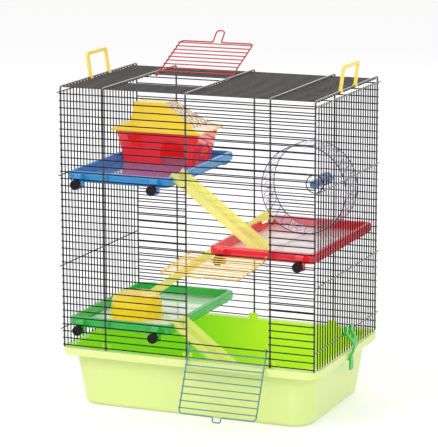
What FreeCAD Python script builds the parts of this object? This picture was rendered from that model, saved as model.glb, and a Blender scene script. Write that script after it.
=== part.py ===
import FreeCAD, Part
import Sketcher
import math
import os
import re

# Pet cage on a plastic tray: a wire top with three doors, three shelves, three ladders,
# a running wheel, a house and a bowl. Lengths are millimetres, angles are degrees.
# The origin is the centre of the tray's underside, +X is right, +Y is back, +Z is up.

V = FreeCAD.Vector

# Driving dimensions, one cell of the sheet each.
SIZES = {
    # Base tray
    "tray_height": 92.0,
    "tray_rim_width": 420.0,
    "tray_rim_depth": 289.0,
    "tray_rim_corner": 26.0,
    "flange_side_width": 15.0,
    "flange_front_width": 16.0,
    "tray_mouth_corner": 24.0,
    "tray_side_lean": 7.0,
    "tray_front_lean": 5.5,
    "tray_foot_corner": 34.0,
    "tray_foot_round": 7.0,
    "tray_wall": 2.2,
    "flange_thickness": 2.6,
    "lip_height": 11.0,
    "lip_thickness": 2.4,
    "lip_round": 1.0,
    "stop_length": 14.0,
    "stop_thickness": 3.5,
    "stop_height": 9.0,
    "stop_gap": 0.3,
    # Wire top
    "post_side_inset": 6.5,
    "post_front_inset": 8.2,
    "cage_height": 402.8,
    "post_radius": 1.4,
    "end_bay_width": 69.5,
    "post_bend": 4.0,
    "bar_radius": 0.9,
    "bar_pitch": 10.75,
    "first_bar_rise": 3.8,
    "weld_gap": 0.05,
    "cross_radius": 1.0,
    "cross_overhang": 6.0,
    "cross_low_rise": 29.0,
    "cross_waist_rise": 126.5,
    "cross_chest_rise": 266.0,
    "cross_top_drop": 10.0,
    "upright_end": 1.4,
    # Doors
    "door_side_gap": 2.8,
    "door_edge_gap": 2.5,
    "door_frame_radius": 1.1,
    "door_corner": 6.0,
    "curl_gap": 0.2,
    "curl_turn": 240.0,
    "latch_width": 13.0,
    "latch_height": 8.0,
    "latch_bend": 2.6,
    "loop_width": 14.0,
    "loop_height": 24.0,
    "loop_bend": 6.4,
    "loop_root_bend": 2.6,
    "loop_tilt": 20.0,
    "lower_door_open": 155.8,
    "upper_door_open": 94.0,
    "roof_door_open": 155.8,
    # Carry handles
    "handle_reach": 39.5,
    "handle_width": 6.0,
    "handle_thickness": 4.5,
    "handle_corner": 6.5,
    "handle_round": 1.2,
    "handle_eye_radius": 3.2,
    "handle_eye_gap": 0.1,
    "handle_lean": 8.0,
    # Tray clips
    "clip_thickness": 3.0,
    "clip_eye_wall": 2.2,
    "clip_eye_gap": 0.1,
    "clip_top_rise": 11.0,
    "clip_stand_off": 3.0,
    "clip_bulge": 15.0,
    "clip_bulge_drop": 16.0,
    "clip_neck_gap": 1.4,
    "clip_neck_drop": 37.0,
    "clip_tab_drop": 57.0,
    "clip_waist_drop": 28.0,
    "clip_bend": 9.0,
    "clip_arm_width": 7.0,
    "clip_fork_drop": 9.0,
    "clip_neck_width": 8.0,
    "clip_tab_width": 13.0,
    "clip_nib_gap": 0.4,
    "clip_nib_height": 2.6,
    "clip_nib_reach": 2.0,
    # Shelves
    "shelf_width": 169.0,
    "shelf_end_gap": 8.3,
    "shelf_corner": 10.0,
    "shelf_wall": 2.0,
    "shelf_rim_width": 7.0,
    "shelf_lip_height": 12.0,
    "shelf_drop": 16.0,
    "shelf_floor": 2.0,
    "shelf_round": 3.0,
    "left_shelf_gap": 4.0,
    "right_shelf_gap": 2.0,
    "lug_width": 12.0,
    "lug_drop": 24.0,
    "lug_bar_gap": 0.3,
    "lug_root_share": 0.75,
    "notch_end_gap": 38.0,
    "notch_gap": 2.0,
    "notch_depth": 9.0,
    # Thumbscrews
    "screw_spread": 125.0,
    "screw_drop": 17.0,
    "screw_radius": 2.0,
    "screw_play": 0.1,
    "screw_seat_gap": 0.3,
    "knob_radius": 7.8,
    "knob_thickness": 8.0,
    "knob_gap": 0.3,
    "knob_round": 1.4,
    "knob_groove_radius": 1.3,
    "knob_groove_offset": 0.4,
    # Ladders
    "ladder_width": 39.0,
    "ladder_wall": 1.8,
    "ladder_floor": 1.8,
    "ladder_side": 10.8,
    "ladder_hook": 7.0,
    "ladder_head": 11.0,
    "ladder_seat_gap": 0.3,
    "rung_height": 1.5,
    "rung_thickness": 2.0,
    "rung_pitch": 11.0,
    "upper_ladder_run": 136.0,
    "middle_ladder_run": 186.0,
    "middle_ladder_head": 17.0,
    "middle_ladder_yaw": 12.0,
    "lower_ladder_run": 165.0,
    # Running wheel
    "wheel_shift": 2.0,
    "wheel_radius": 69.5,
    "wheel_depth": 54.0,
    "wheel_wall": 2.0,
    "wheel_bead": 3.0,
    "wheel_bead_depth": 3.0,
    "wheel_back_gap": 45.0,
    "wheel_hub_radius": 7.5,
    "wheel_hub_depth": 5.0,
    "wheel_collar_radius": 14.0,
    "wheel_collar_depth": 2.0,
    "wheel_play": 0.1,
    "wheel_end_gap": 0.3,
    "axle_radius": 3.0,
    "cap_radius": 6.5,
    "cap_depth": 5.0,
    "cap_round": 2.0,
    "mount_radius": 9.5,
    "mount_depth": 8.0,
    "mount_neck_radius": 7.0,
    "mount_round": 1.5,
    "mount_bar_gap": 0.1,
    "nut_radius": 10.0,
    "nut_depth": 6.0,
    # House
    "house_shift": 11.0,
    "house_back_gap": 47.0,
    "house_foot_width": 121.0,
    "house_foot_depth": 70.0,
    "house_top_width": 142.0,
    "house_top_depth": 82.0,
    "house_base_height": 51.0,
    "house_corner": 5.0,
    "house_wall": 2.0,
    "house_door_centre": 26.0,
    "house_door_width": 43.0,
    "house_door_height": 41.0,
    "house_window_centre": 33.0,
    "house_window_radius": 18.0,
    "house_window_drop": 6.0,
    "house_side_door_width": 34.0,
    "house_side_door_height": 32.0,
    "roof_seat_gap": 0.3,
    "roof_eave_width": 153.0,
    "roof_eave_depth": 92.0,
    "roof_eave_thickness": 2.5,
    "roof_eave_rim": 7.5,
    "roof_flare_height": 15.0,
    "roof_flare_left": 49.0,
    "roof_flare_right": 42.0,
    "roof_flare_depth": 53.0,
    "roof_tower_left": 51.0,
    "roof_tower_right": 70.0,
    "roof_tower_depth": 62.0,
    "roof_height": 43.0,
    "roof_top_left": 48.0,
    "roof_top_right": 6.0,
    "roof_top_depth": 38.0,
    "roof_wall": 2.0,
    "roof_slope_wall": 4.0,
    # Bowl, upside down
    "bowl_shift": 15.0,
    "bowl_forward": 31.0,
    "bowl_lip_radius": 42.5,
    "bowl_lip_height": 2.5,
    "bowl_radius": 40.5,
    "bowl_shoulder_radius": 38.0,
    "bowl_height": 35.5,
    "bowl_wall": 2.0,
    "bowl_round": 15.0,
    "bowl_seat_gap": 0.3,
    # Length by which every cut runs past the surface that it leaves
    "overrun": 5.0,
}

# Counts, and places that are counted in bars.
DOOR_SPAN = 10
LOWER_HINGE_BAR = 2
UPPER_HINGE_BAR = 15
ROOF_HINGE_BAR = 16
ROOF_DOOR_BAY = -1
FRONT_DOOR_BAY = 1
HANDLE_SPAN = 6
KNOB_GROOVES = 10

# Bars, counted from the lowest, that carry the shelves' thumbscrews and the wheel's axle.
BAR_RUN = SIZES["cage_height"] - SIZES["first_bar_rise"] - SIZES["post_bend"]
TOP_BAR = int(BAR_RUN / SIZES["bar_pitch"])
SHELF_BAR_SHARES = {"blue": 0.64, "red": 0.39, "green": 0.06}
SHELF_BARS = {name: round(share * TOP_BAR) for name, share in SHELF_BAR_SHARES.items()}
WHEEL_BAR = SHELF_BARS["red"] + 7

# Sums that follow from the driving dimensions, one cell of the second sheet each.
LAYOUT = {
    "tray_mouth_width": "tray_rim_width - 2 * flange_side_width",
    "tray_mouth_depth": "tray_rim_depth - 2 * flange_front_width",
    "tray_foot_width": "tray_mouth_width - 2 * tray_side_lean",
    "tray_foot_depth": "tray_mouth_depth - 2 * tray_front_lean",
    "post_y": "tray_rim_depth / 2 - post_front_inset",
    "corner_x": "tray_rim_width / 2 - post_side_inset",
    "post_spacing": "corner_x - end_bay_width",
    "bar_y": "post_y + post_radius + bar_radius + weld_gap",
    "roof_wire_z": "tray_height + cage_height - post_radius",
    "roof_bar_z": "roof_wire_z - post_radius - weld_gap - bar_radius",
    "bar_reach": "corner_x + post_radius",
    "first_bar_z": "tray_height + first_bar_rise",
    "cross_x": "corner_x + post_radius + weld_gap + cross_radius",
    "upright_x": "cross_x - cross_radius - weld_gap - bar_radius",
    "cross_top_rise": "cage_height - cross_top_drop",
    "door_offset": "bar_radius + curl_gap + door_frame_radius",
    "door_width": "post_spacing - 2 * (post_radius + door_side_gap)",
    "door_length": "%d * bar_pitch - door_edge_gap" % DOOR_SPAN,
    "door_bar_y": "door_frame_radius + bar_radius + weld_gap - door_offset",
    "door_half": "door_width / 2 - door_frame_radius",
    "shelf_depth": "2 * (post_y - shelf_end_gap)",
    "left_shelf_offset": "corner_x - left_shelf_gap - shelf_width / 2",
    "right_shelf_offset": "corner_x - right_shelf_gap - shelf_width / 2",
    "shelf_inner_width": "shelf_width - 2 * shelf_rim_width",
    "shelf_inner_depth": "shelf_depth - 2 * shelf_rim_width",
    "lug_reach": "bar_y - bar_radius - lug_bar_gap",
    "screw_rise": "bar_radius + screw_seat_gap + screw_radius",
    "blue_rim_z": "first_bar_z + %d * bar_pitch + screw_rise + screw_drop" % SHELF_BARS["blue"],
    "red_rim_z": "first_bar_z + %d * bar_pitch + screw_rise + screw_drop" % SHELF_BARS["red"],
    "green_rim_z": "first_bar_z + %d * bar_pitch + screw_rise + screw_drop" % SHELF_BARS["green"],
    "shelf_floor_drop": "shelf_drop - shelf_floor",
    "notch_offset": "shelf_depth / 2 - notch_end_gap",
    "notch_width": "ladder_width + 2 * notch_gap",
    "knob_face": "bar_y + bar_radius + knob_gap",
    "knob_end": "knob_face + knob_thickness",
    "wheel_x": "right_shelf_offset + wheel_shift",
    "wheel_z": "first_bar_z + (%d + 0.5) * bar_pitch" % WHEEL_BAR,
    "wheel_back_y": "bar_y - wheel_back_gap",
    "axle_front_y": "wheel_back_y - wheel_hub_depth - wheel_end_gap - cap_depth / 2",
    "mount_face_y": "bar_y - bar_radius - mount_bar_gap",
    "nut_face_y": "bar_y + bar_radius + mount_bar_gap",
    "house_x": "left_shelf_offset + house_shift",
    "house_y": "shelf_depth / 2 - house_back_gap",
    "house_foot_z": "blue_rim_z - shelf_floor_drop",
    "roof_seat_z": "house_foot_z + house_base_height + roof_seat_gap",
    "shank_length": "knob_face - shelf_depth / 2 - shelf_wall / 2",
    "seat_drop": "notch_depth - ladder_seat_gap",
    "upper_ladder_drop": "blue_rim_z - seat_drop - red_rim_z + shelf_floor_drop",
    "middle_ladder_drop": "red_rim_z - seat_drop - green_rim_z + shelf_floor_drop",
    "lower_ladder_drop": "green_rim_z - seat_drop - tray_wall",
    "clip_eye_radius": "cross_radius + clip_eye_gap",
    "clip_eye_outer": "clip_eye_radius + clip_eye_wall",
    "clip_lip_x": "tray_rim_width / 2 - cross_x",
    "clip_lip_drop": "cross_low_rise + lip_height",
    "bowl_x": "left_shelf_offset + bowl_shift",
    "bowl_z": "green_rim_z - shelf_floor_drop + bowl_seat_gap",
}

doc = FreeCAD.newDocument("PetCage")
sizes = doc.addObject("Spreadsheet::Sheet", "Sizes")
layout = doc.addObject("Spreadsheet::Sheet", "Layout")
workings = doc.addObject("Spreadsheet::Sheet", "Workings")
NODES = []
TOLERANCE = 1e-4


def expand(formula, home=None):
    """Write the sheet's name before each dimension's name in a formula."""
    def full_name(match):
        word = match.group()
        if word in SIZES:
            return "Sizes." + word
        if word in LAYOUT:
            return word if home == "Layout" else "Layout." + word
        return word
    return re.sub(r"[a-z][a-z_]+", full_name, formula)


def fill_sheets():
    """Put the dimensions and the sums into their cells."""
    for row, (name, number) in enumerate(SIZES.items(), start=1):
        sizes.set("A%d" % row, name)
        sizes.set("B%d" % row, repr(number))
        sizes.setAlias("B%d" % row, name)
    doc.recompute()
    for row, (name, formula) in enumerate(LAYOUT.items(), start=1):
        layout.set("A%d" % row, name)
        layout.setAlias("B%d" % row, name)
        layout.set("B%d" % row, "=" + expand(formula, "Layout"))
    doc.recompute()


def amount(formula):
    """Return the number that a formula gives."""
    workings.set("A1", "=" + expand(formula))
    workings.recompute()
    return float(workings.get("A1"))


def bind(item, **formulas):
    """Bind properties of an object to formulas; two underscores stand for a dot."""
    for name, formula in formulas.items():
        item.setExpression(name.replace("__", "."), expand(formula))


def place(item, x="0", y="0", z="0", rotation=None):
    """Put an object at a place that follows the sheets."""
    if rotation is not None:
        item.Placement.Rotation = rotation
    bind(item, Placement__Base__x=x, Placement__Base__y=y, Placement__Base__z=z)


def node(item, name):
    """Name an object as one of the cage's pieces."""
    item.Label = name
    NODES.append(item)
    return item


# Turns that lay a cylinder's own axis along X, Y or Z.
ALONG = {
    "X": FreeCAD.Rotation(V(0, 1, 0), 90),
    "Y": FreeCAD.Rotation(V(1, 0, 0), -90),
    "Z": FreeCAD.Rotation(),
}


def rod(radius, length, along, x, y, z):
    """A straight round wire from a start point along one axis."""
    item = doc.addObject("Part::Cylinder", "Rod")
    bind(item, Radius=radius, Height=length)
    place(item, x, y, z, ALONG[along])
    return item


def elbow(radius, bend, x, y, z, rotation):
    """A quarter bend of round wire about a centre."""
    item = doc.addObject("Part::Torus", "Elbow")
    item.Angle3 = 90
    bind(item, Radius1=bend, Radius2=radius)
    place(item, x, y, z, rotation)
    return item


def group(members, name):
    """One piece made of separate wires."""
    item = doc.addObject("Part::Compound", "Group")
    item.Links = members
    return node(item, name)


def new_body(name):
    """An empty body for one piece."""
    return node(doc.addObject("PartDesign::Body", "Body"), name)


def sketch_on(body, plane, offset="0"):
    """A sketch on one of the body's own planes, moved along the plane's normal."""
    sketch = body.newObject("Sketcher::SketchObject", "Sketch")
    support = [item for item in body.Origin.OriginFeatures if item.Role == plane][0]
    sketch.AttachmentSupport = [(support, "")]
    sketch.MapMode = "FlatFace"
    bind(sketch, AttachmentOffset__Base__z=offset)
    return sketch


def fix_point(sketch, line, end, x, y):
    """Tie a point of a sketch to its place."""
    for kind, formula in (("DistanceX", x), ("DistanceY", y)):
        index = sketch.addConstraint(Sketcher.Constraint(kind, -1, 1, line, end, amount(formula)))
        sketch.setExpression("Constraints[%d]" % index, expand(formula))


def polygon(sketch, points):
    """A closed outline of straight lines."""
    corners = [V(amount(x), amount(y), 0) for x, y in points]
    first = sketch.GeometryCount
    count = len(points)
    for index in range(count):
        sketch.addGeometry(Part.LineSegment(corners[index], corners[(index + 1) % count]))
    for index in range(count):
        follower = first + (index + 1) % count
        sketch.addConstraint(Sketcher.Constraint("Coincident", first + index, 2, follower, 1))
    for index, (x, y) in enumerate(points):
        fix_point(sketch, first + index, 1, x, y)


def rectangle(sketch, left, right, low, high):
    """A closed outline with square corners."""
    polygon(sketch, [(left, low), (right, low), (right, high), (left, high)])


def circle(sketch, x, y, radius):
    """A circle at a place of the sketch."""
    ring = Part.Circle(V(amount(x), amount(y), 0), V(0, 0, 1), amount(radius))
    index = sketch.addGeometry(ring)
    fix_point(sketch, index, 3, x, y)
    size = sketch.addConstraint(Sketcher.Constraint("Radius", index, amount(radius)))
    sketch.setExpression("Constraints[%d]" % size, expand(radius))


def rounded_rectangle(sketch, width, depth, corner):
    """A closed outline about the sketch's centre, with round corners."""
    half_x, half_y, r = amount(width) / 2, amount(depth) / 2, amount(corner)
    lines = [
        (V(r - half_x, -half_y, 0), V(half_x - r, -half_y, 0)),
        (V(half_x, r - half_y, 0), V(half_x, half_y - r, 0)),
        (V(half_x - r, half_y, 0), V(r - half_x, half_y, 0)),
        (V(-half_x, half_y - r, 0), V(-half_x, r - half_y, 0)),
    ]
    middles = [(half_x, -half_y), (half_x, half_y), (-half_x, half_y), (-half_x, -half_y)]
    first = sketch.GeometryCount
    for index, (start, end) in enumerate(lines):
        x, y = middles[index]
        centre = V(x - math.copysign(r, x), y - math.copysign(r, y), 0)
        begin = math.radians(90 * index - 90)
        sketch.addGeometry(Part.LineSegment(start, end))
        arc = Part.ArcOfCircle(Part.Circle(centre, V(0, 0, 1), r), begin, begin + math.pi / 2)
        sketch.addGeometry(arc)
    for index in range(4):
        line, arc, following = first + 2 * index, first + 2 * index + 1, first + (2 * index + 2) % 8
        sketch.addConstraint(Sketcher.Constraint("Tangent", line, 2, arc, 1))
        sketch.addConstraint(Sketcher.Constraint("Tangent", arc, 2, following, 1))
        direction = "Horizontal" if index % 2 == 0 else "Vertical"
        sketch.addConstraint(Sketcher.Constraint(direction, line))
        if index:
            sketch.addConstraint(Sketcher.Constraint("Equal", first + 1, arc))
    sides = [
        ("DistanceY", 0, "-(%s) / 2" % depth), ("DistanceX", 2, "(%s) / 2" % width),
        ("DistanceY", 4, "(%s) / 2" % depth), ("DistanceX", 6, "-(%s) / 2" % width),
    ]
    for kind, line, formula in sides:
        made = Sketcher.Constraint(kind, -1, 1, first + line, 1, amount(formula))
        sketch.setExpression("Constraints[%d]" % sketch.addConstraint(made), expand(formula))
    size = sketch.addConstraint(Sketcher.Constraint("Radius", first + 1, r))
    sketch.setExpression("Constraints[%d]" % size, expand(corner))


def pad(body, sketch, length, both_ways=False, backwards=False):
    """Raise a sketch into a solid."""
    feature = body.newObject("PartDesign::Pad", "Pad")
    feature.Profile = sketch
    feature.Midplane = both_ways
    feature.Reversed = backwards
    bind(feature, Length=length)
    doc.recompute()
    return feature


def pocket(body, sketch, length, both_ways=False, backwards=False):
    """Cut a sketch's shape out of the body, and stop if nothing was cut."""
    before = body.Shape.Volume
    feature = body.newObject("PartDesign::Pocket", "Pocket")
    feature.Profile = sketch
    feature.Midplane = both_ways
    feature.Reversed = backwards
    bind(feature, Length=length)
    doc.recompute()
    if body.Shape.Volume >= before:
        raise RuntimeError("a cut in %s removes nothing" % body.Label)
    return feature


def loft(body, kind, low, high):
    """Join two outlines by straight walls, adding to the body or taking from it."""
    feature = body.newObject("PartDesign::" + kind, "Loft")
    feature.Profile = low
    feature.Sections = [high]
    feature.Ruled = True
    doc.recompute()
    return feature


def revolve(body, sketch):
    """Turn a half outline, drawn on the XZ plane, once about the Z axis."""
    feature = body.newObject("PartDesign::Revolution", "Revolution")
    feature.Profile = sketch
    feature.ReferenceAxis = (sketch, ["V_Axis"])
    feature.Angle = 360
    doc.recompute()
    return feature


def round_edges(body, radius, wanted):
    """Round the edges of the body's last feature that pass a test."""
    base = body.Tip
    names = ["Edge%d" % (i + 1) for i, edge in enumerate(base.Shape.Edges) if wanted(edge)]
    feature = body.newObject("PartDesign::Fillet", "Fillet")
    feature.Base = (base, names)
    bind(feature, Radius=radius)
    doc.recompute()
    return feature


def near(first, second):
    """Whether two lengths of the model are the same."""
    return abs(first - second) < TOLERANCE


def level(edge, height):
    """Whether an edge lies wholly at one height."""
    box = edge.BoundBox
    return near(box.ZMin, height) and near(box.ZMax, height)


def arch(sketch, centre, low, spring, radius):
    """A doorway outline: straight sides with a half-round top."""
    x, y, r = amount(centre), amount(spring), amount(radius)
    base = amount(low)
    first = sketch.GeometryCount
    sketch.addGeometry(Part.LineSegment(V(x - r, base, 0), V(x + r, base, 0)))
    sketch.addGeometry(Part.LineSegment(V(x + r, base, 0), V(x + r, y, 0)))
    sketch.addGeometry(Part.ArcOfCircle(Part.Circle(V(x, y, 0), V(0, 0, 1), r), 0, math.pi))
    sketch.addGeometry(Part.LineSegment(V(x - r, y, 0), V(x - r, base, 0)))
    sketch.addConstraint(Sketcher.Constraint("Coincident", first, 2, first + 1, 1))
    sketch.addConstraint(Sketcher.Constraint("Tangent", first + 1, 2, first + 2, 1))
    sketch.addConstraint(Sketcher.Constraint("Tangent", first + 2, 2, first + 3, 1))
    sketch.addConstraint(Sketcher.Constraint("Coincident", first + 3, 2, first, 1))
    sketch.addConstraint(Sketcher.Constraint("Vertical", first + 1))
    sketch.addConstraint(Sketcher.Constraint("Vertical", first + 3))
    sketch.addConstraint(Sketcher.Constraint("Horizontal", first))
    fix_point(sketch, first + 2, 3, centre, spring)
    made = Sketcher.Constraint("DistanceY", -1, 1, first, 1, base)
    sketch.setExpression("Constraints[%d]" % sketch.addConstraint(made), expand(low))
    size = sketch.addConstraint(Sketcher.Constraint("Radius", first + 2, r))
    sketch.setExpression("Constraints[%d]" % size, expand(radius))


def half_round(sketch, centre, top, radius):
    """A window outline: a flat top with a half-round below it."""
    x, y, r = amount(centre), amount(top), amount(radius)
    first = sketch.GeometryCount
    sketch.addGeometry(Part.LineSegment(V(x + r, y, 0), V(x - r, y, 0)))
    ring = Part.Circle(V(x, y, 0), V(0, 0, 1), r)
    sketch.addGeometry(Part.ArcOfCircle(ring, math.pi, 2 * math.pi))
    sketch.addConstraint(Sketcher.Constraint("Coincident", first, 2, first + 1, 1))
    sketch.addConstraint(Sketcher.Constraint("Coincident", first + 1, 2, first, 1))
    sketch.addConstraint(Sketcher.Constraint("Horizontal", first))
    sketch.addConstraint(Sketcher.Constraint("PointOnObject", first + 1, 3, first))
    fix_point(sketch, first + 1, 3, centre, top)
    size = sketch.addConstraint(Sketcher.Constraint("Radius", first + 1, r))
    sketch.setExpression("Constraints[%d]" % size, expand(radius))


# Base tray: tapered tub, flange, turned-down lip and the stops that keep the wire top in place.
POSTS = ("-corner_x", "-post_spacing", "0", "post_spacing", "corner_x")
# Turns, in degrees, at which the rounded foot has a level.
FOOT_STEPS = (0, 30, 60, 90)


def tub(body, kind, wall):
    """The tray's tapered tub with a rounded foot, a wall's thickness inside its outer face."""
    levels = []
    for angle in FOOT_STEPS:
        inset = "(%s + (tray_foot_round - %s) * (1 - sin(%d)))" % (wall, wall, angle)
        height = "%s + (tray_foot_round - %s) * (1 - cos(%d))" % (wall, wall, angle)
        levels.append((height, "tray_foot_width - 2 * " + inset, "tray_foot_depth - 2 * " + inset,
                       "tray_foot_corner - " + inset))
    spare = "(tray_wall - %s)" % wall
    levels.append(("tray_height", "tray_mouth_width + 2 * " + spare,
                   "tray_mouth_depth + 2 * " + spare, "tray_mouth_corner + " + spare))
    sections = []
    for height, width, depth, corner in levels:
        section = sketch_on(body, "XY_Plane", height)
        rounded_rectangle(section, width, depth, corner)
        sections.append(section)
    for low, high in zip(sections, sections[1:]):
        loft(body, kind, low, high)


def make_tray():
    body = new_body("base_tray")
    tub(body, "AdditiveLoft", "0")
    flange = sketch_on(body, "XY_Plane", "tray_height - flange_thickness")
    rounded_rectangle(flange, "tray_rim_width", "tray_rim_depth", "tray_rim_corner")
    pad(body, flange, "flange_thickness")
    lip = sketch_on(body, "XY_Plane", "tray_height - lip_height")
    rounded_rectangle(lip, "tray_rim_width", "tray_rim_depth", "tray_rim_corner")
    rounded_rectangle(lip, "tray_rim_width - 2 * lip_thickness",
                      "tray_rim_depth - 2 * lip_thickness", "tray_rim_corner - lip_thickness")
    pad(body, lip, "lip_height")
    top = amount("tray_height")
    round_edges(body, "lip_round", lambda edge: level(edge, top))
    tub(body, "SubtractiveLoft", "tray_wall")
    stops = sketch_on(body, "XY_Plane", "tray_height - flange_thickness / 2")
    near_face = "(post_y - post_radius - stop_gap)"
    far_face = "(post_y - post_radius - stop_gap - stop_thickness)"
    for x in POSTS[1:-1]:
        left, right = x + " - stop_length / 2", x + " + stop_length / 2"
        rectangle(stops, left, right, "-" + near_face, "-" + far_face)
        rectangle(stops, left, right, far_face, near_face)
    pad(body, stops, "stop_height + flange_thickness / 2")


# Wire top: heavy wires bent over front, roof and back, with thin bars welded outside their legs
# and under the roof.
def roof_bar_count():
    """How many thin bars the roof and each side panel take, a pair at a time."""
    return 2 * int(amount("post_y - post_bend") / amount("bar_pitch") + 0.5)


def row_z(index):
    """Height of a front or back bar."""
    return "first_bar_z + %d * bar_pitch" % index


def row_y(index, count):
    """Place of a roof bar or an upright bar across the depth."""
    return "(%d - %d / 2) * bar_pitch" % (index, count - 1)


# Turns that lay a quarter bend from the front leg, or the back leg, into the roof.
ROOF_BEND = {
    -1: FreeCAD.Rotation(V(0, -1, 0), V(0, 0, 1), V(-1, 0, 0), "XYZ"),
    1: FreeCAD.Rotation(V(0, 0, 1), V(0, 1, 0), V(-1, 0, 0), "XYZ"),
}


def make_frame_wires():
    wires = []
    leg = "roof_wire_z - post_bend - tray_height"
    for x in POSTS:
        for side in (-1, 1):
            wires.append(rod("post_radius", leg, "Z", x, "%d * post_y" % side, "tray_height"))
            wires.append(elbow("post_radius", "post_bend", x, "%d * (post_y - post_bend)" % side,
                               "roof_wire_z - post_bend", ROOF_BEND[side]))
        wires.append(rod("post_radius", "2 * (post_y - post_bend)", "Y", x,
                         "post_bend - post_y", "roof_wire_z"))
    group(wires, "frame_wires")


def bar_pieces(y, z, left_post=None):
    """One thin bar, or the two ends of a bar that a doorway interrupts."""
    if left_post is None:
        return [rod("bar_radius", "2 * bar_reach", "X", "-bar_reach", y, z)]
    right = "(%s + post_spacing - post_radius)" % left_post
    first = rod("bar_radius", "bar_reach + %s + post_radius" % left_post, "X", "-bar_reach", y, z)
    return [first, rod("bar_radius", "bar_reach - " + right, "X", right, y, z)]


def make_bars(columns):
    front, back, roof = [], [], []
    gaps = set()
    for hinge in (LOWER_HINGE_BAR, UPPER_HINGE_BAR):
        gaps.update(range(hinge + 1, hinge + DOOR_SPAN))
    for index in range(TOP_BAR + 1):
        post = "0" if index in gaps else None
        front += bar_pieces("-bar_y", row_z(index), post)
        back += bar_pieces("bar_y", row_z(index))
    for index in range(columns):
        broken = ROOF_HINGE_BAR - DOOR_SPAN < index < ROOF_HINGE_BAR
        roof += bar_pieces(row_y(index, columns), "roof_bar_z", "-post_spacing" if broken else None)
    group(front, "front_bars")
    group(back, "back_bars")
    group(roof, "roof_bars")


def make_side_panel(name, side, columns):
    uprights, crosses = [], []
    height = "cross_top_rise + upright_end"
    for index in range(columns):
        uprights.append(rod("bar_radius", height, "Z", "%d * upright_x" % side,
                            row_y(index, columns), "tray_height"))
    for rise in ("cross_low_rise", "cross_waist_rise", "cross_chest_rise", "cross_top_rise"):
        crosses.append(rod("cross_radius", "2 * (post_y + cross_overhang)", "Y",
                           "%d * cross_x" % side, "-post_y - cross_overhang", "tray_height + " + rise))
    group(uprights, name + "_panel_bars")
    group(crosses, name + "_panel_cross_wires")


# Doors: a bent frame wire that curls round a bar of the cage, with thin bars across it.
def bend_path(points, radii):
    """Lines through the points, with a round bend at each inner point."""
    edges = []
    start = points[0]
    for index in range(1, len(points) - 1):
        corner, radius = points[index], radii[index - 1]
        back = (points[index - 1] - corner).normalize()
        ahead = (points[index + 1] - corner).normalize()
        reach = radius / math.tan(back.getAngle(ahead) / 2)
        first, last = corner + back * reach, corner + ahead * reach
        middle = (back + ahead).normalize()
        centre = corner + middle * math.hypot(radius, reach)
        edges.append(Part.LineSegment(start, first).toShape())
        edges.append(Part.Arc(first, centre - middle * radius, last).toShape())
        start = last
    edges.append(Part.LineSegment(start, points[-1]).toShape())
    return edges


def round_pipe(edges, radius):
    """A round wire along a path."""
    path = Part.Wire(edges)
    start = edges[0].valueAt(edges[0].FirstParameter)
    heading = edges[0].tangentAt(edges[0].FirstParameter)
    ring = Part.Wire([Part.Circle(start, heading, radius).toShape()])
    return path.makePipeShell([ring], True, False)


def curl(x, offset, turn, backwards):
    """The hook that a door's side wire makes round the hinge bar."""
    def at(angle):
        return V(x, -offset * math.cos(angle), -offset * math.sin(angle))
    points = [at(0), at(turn / 2), at(turn)]
    if backwards:
        points.reverse()
    return Part.Arc(*points).toShape()


def make_door(name, bump_width, bump_height, bump_bend, root_bend, tilt):
    """A door upright on its hinge, closed, with its hinge bar along X through the origin."""
    half, offset, length = amount("door_half"), amount("door_offset"), amount("door_length")
    turn, corner = math.radians(amount("curl_turn")), amount("door_corner")
    wide, tall = amount(bump_width) / 2, amount(bump_height)
    lean = math.radians(tilt)
    crest = length + tall * math.cos(lean)
    inward = tall * math.sin(lean) - offset
    left = [
        V(-half, -offset, 0), V(-half, -offset, length),
        V(-wide, -offset, length), V(-wide, inward, crest),
    ]
    points = left + [V(-point.x, point.y, point.z) for point in reversed(left)]
    left_radii = [corner, amount(root_bend), amount(bump_bend)]
    edges = [curl(-half, offset, turn, True)]
    edges += bend_path(points, left_radii + left_radii[::-1])
    edges.append(curl(half, offset, turn, False))
    frame = doc.addObject("Part::Feature", "DoorFrame")
    frame.Shape = round_pipe(edges, amount("door_frame_radius"))
    node(frame, name + "_door_frame")
    bars = []
    for index in range(1, DOOR_SPAN):
        bars.append(rod("bar_radius", "door_width", "X", "-door_width / 2", "door_bar_y",
                        "%d * bar_pitch" % index))
    return frame, group(bars, name + "_door_bars")


def hang_door(pieces, x, y, z, rotation):
    for piece in pieces:
        place(piece, x, y, z, rotation)


def make_doors(columns):
    opening = ("latch_width", "latch_height", "latch_bend", "latch_bend", 0)
    lower = make_door("lower", *opening)
    upper = make_door("upper", *opening)
    roof = make_door("roof", "loop_width", "loop_height", "loop_bend", "loop_root_bend",
                     amount("loop_tilt"))
    bay = "%d * post_spacing / 2" % FRONT_DOOR_BAY
    hang_door(lower, bay, "-bar_y", row_z(LOWER_HINGE_BAR),
              FreeCAD.Rotation(V(1, 0, 0), amount("lower_door_open")))
    hang_door(upper, bay, "-bar_y", row_z(UPPER_HINGE_BAR),
              FreeCAD.Rotation(V(1, 0, 0), amount("upper_door_open")))
    # The roof door lies forward when it is shut and back when it is open.
    swing = FreeCAD.Rotation(V(1, 0, 0), amount("roof_door_open") - 90)
    hang_door(roof, "%d * post_spacing / 2" % ROOF_DOOR_BAY, row_y(ROOF_HINGE_BAR, columns),
              "roof_bar_z", FreeCAD.Rotation(V(0, 0, 1), 180).multiply(swing))


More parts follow.
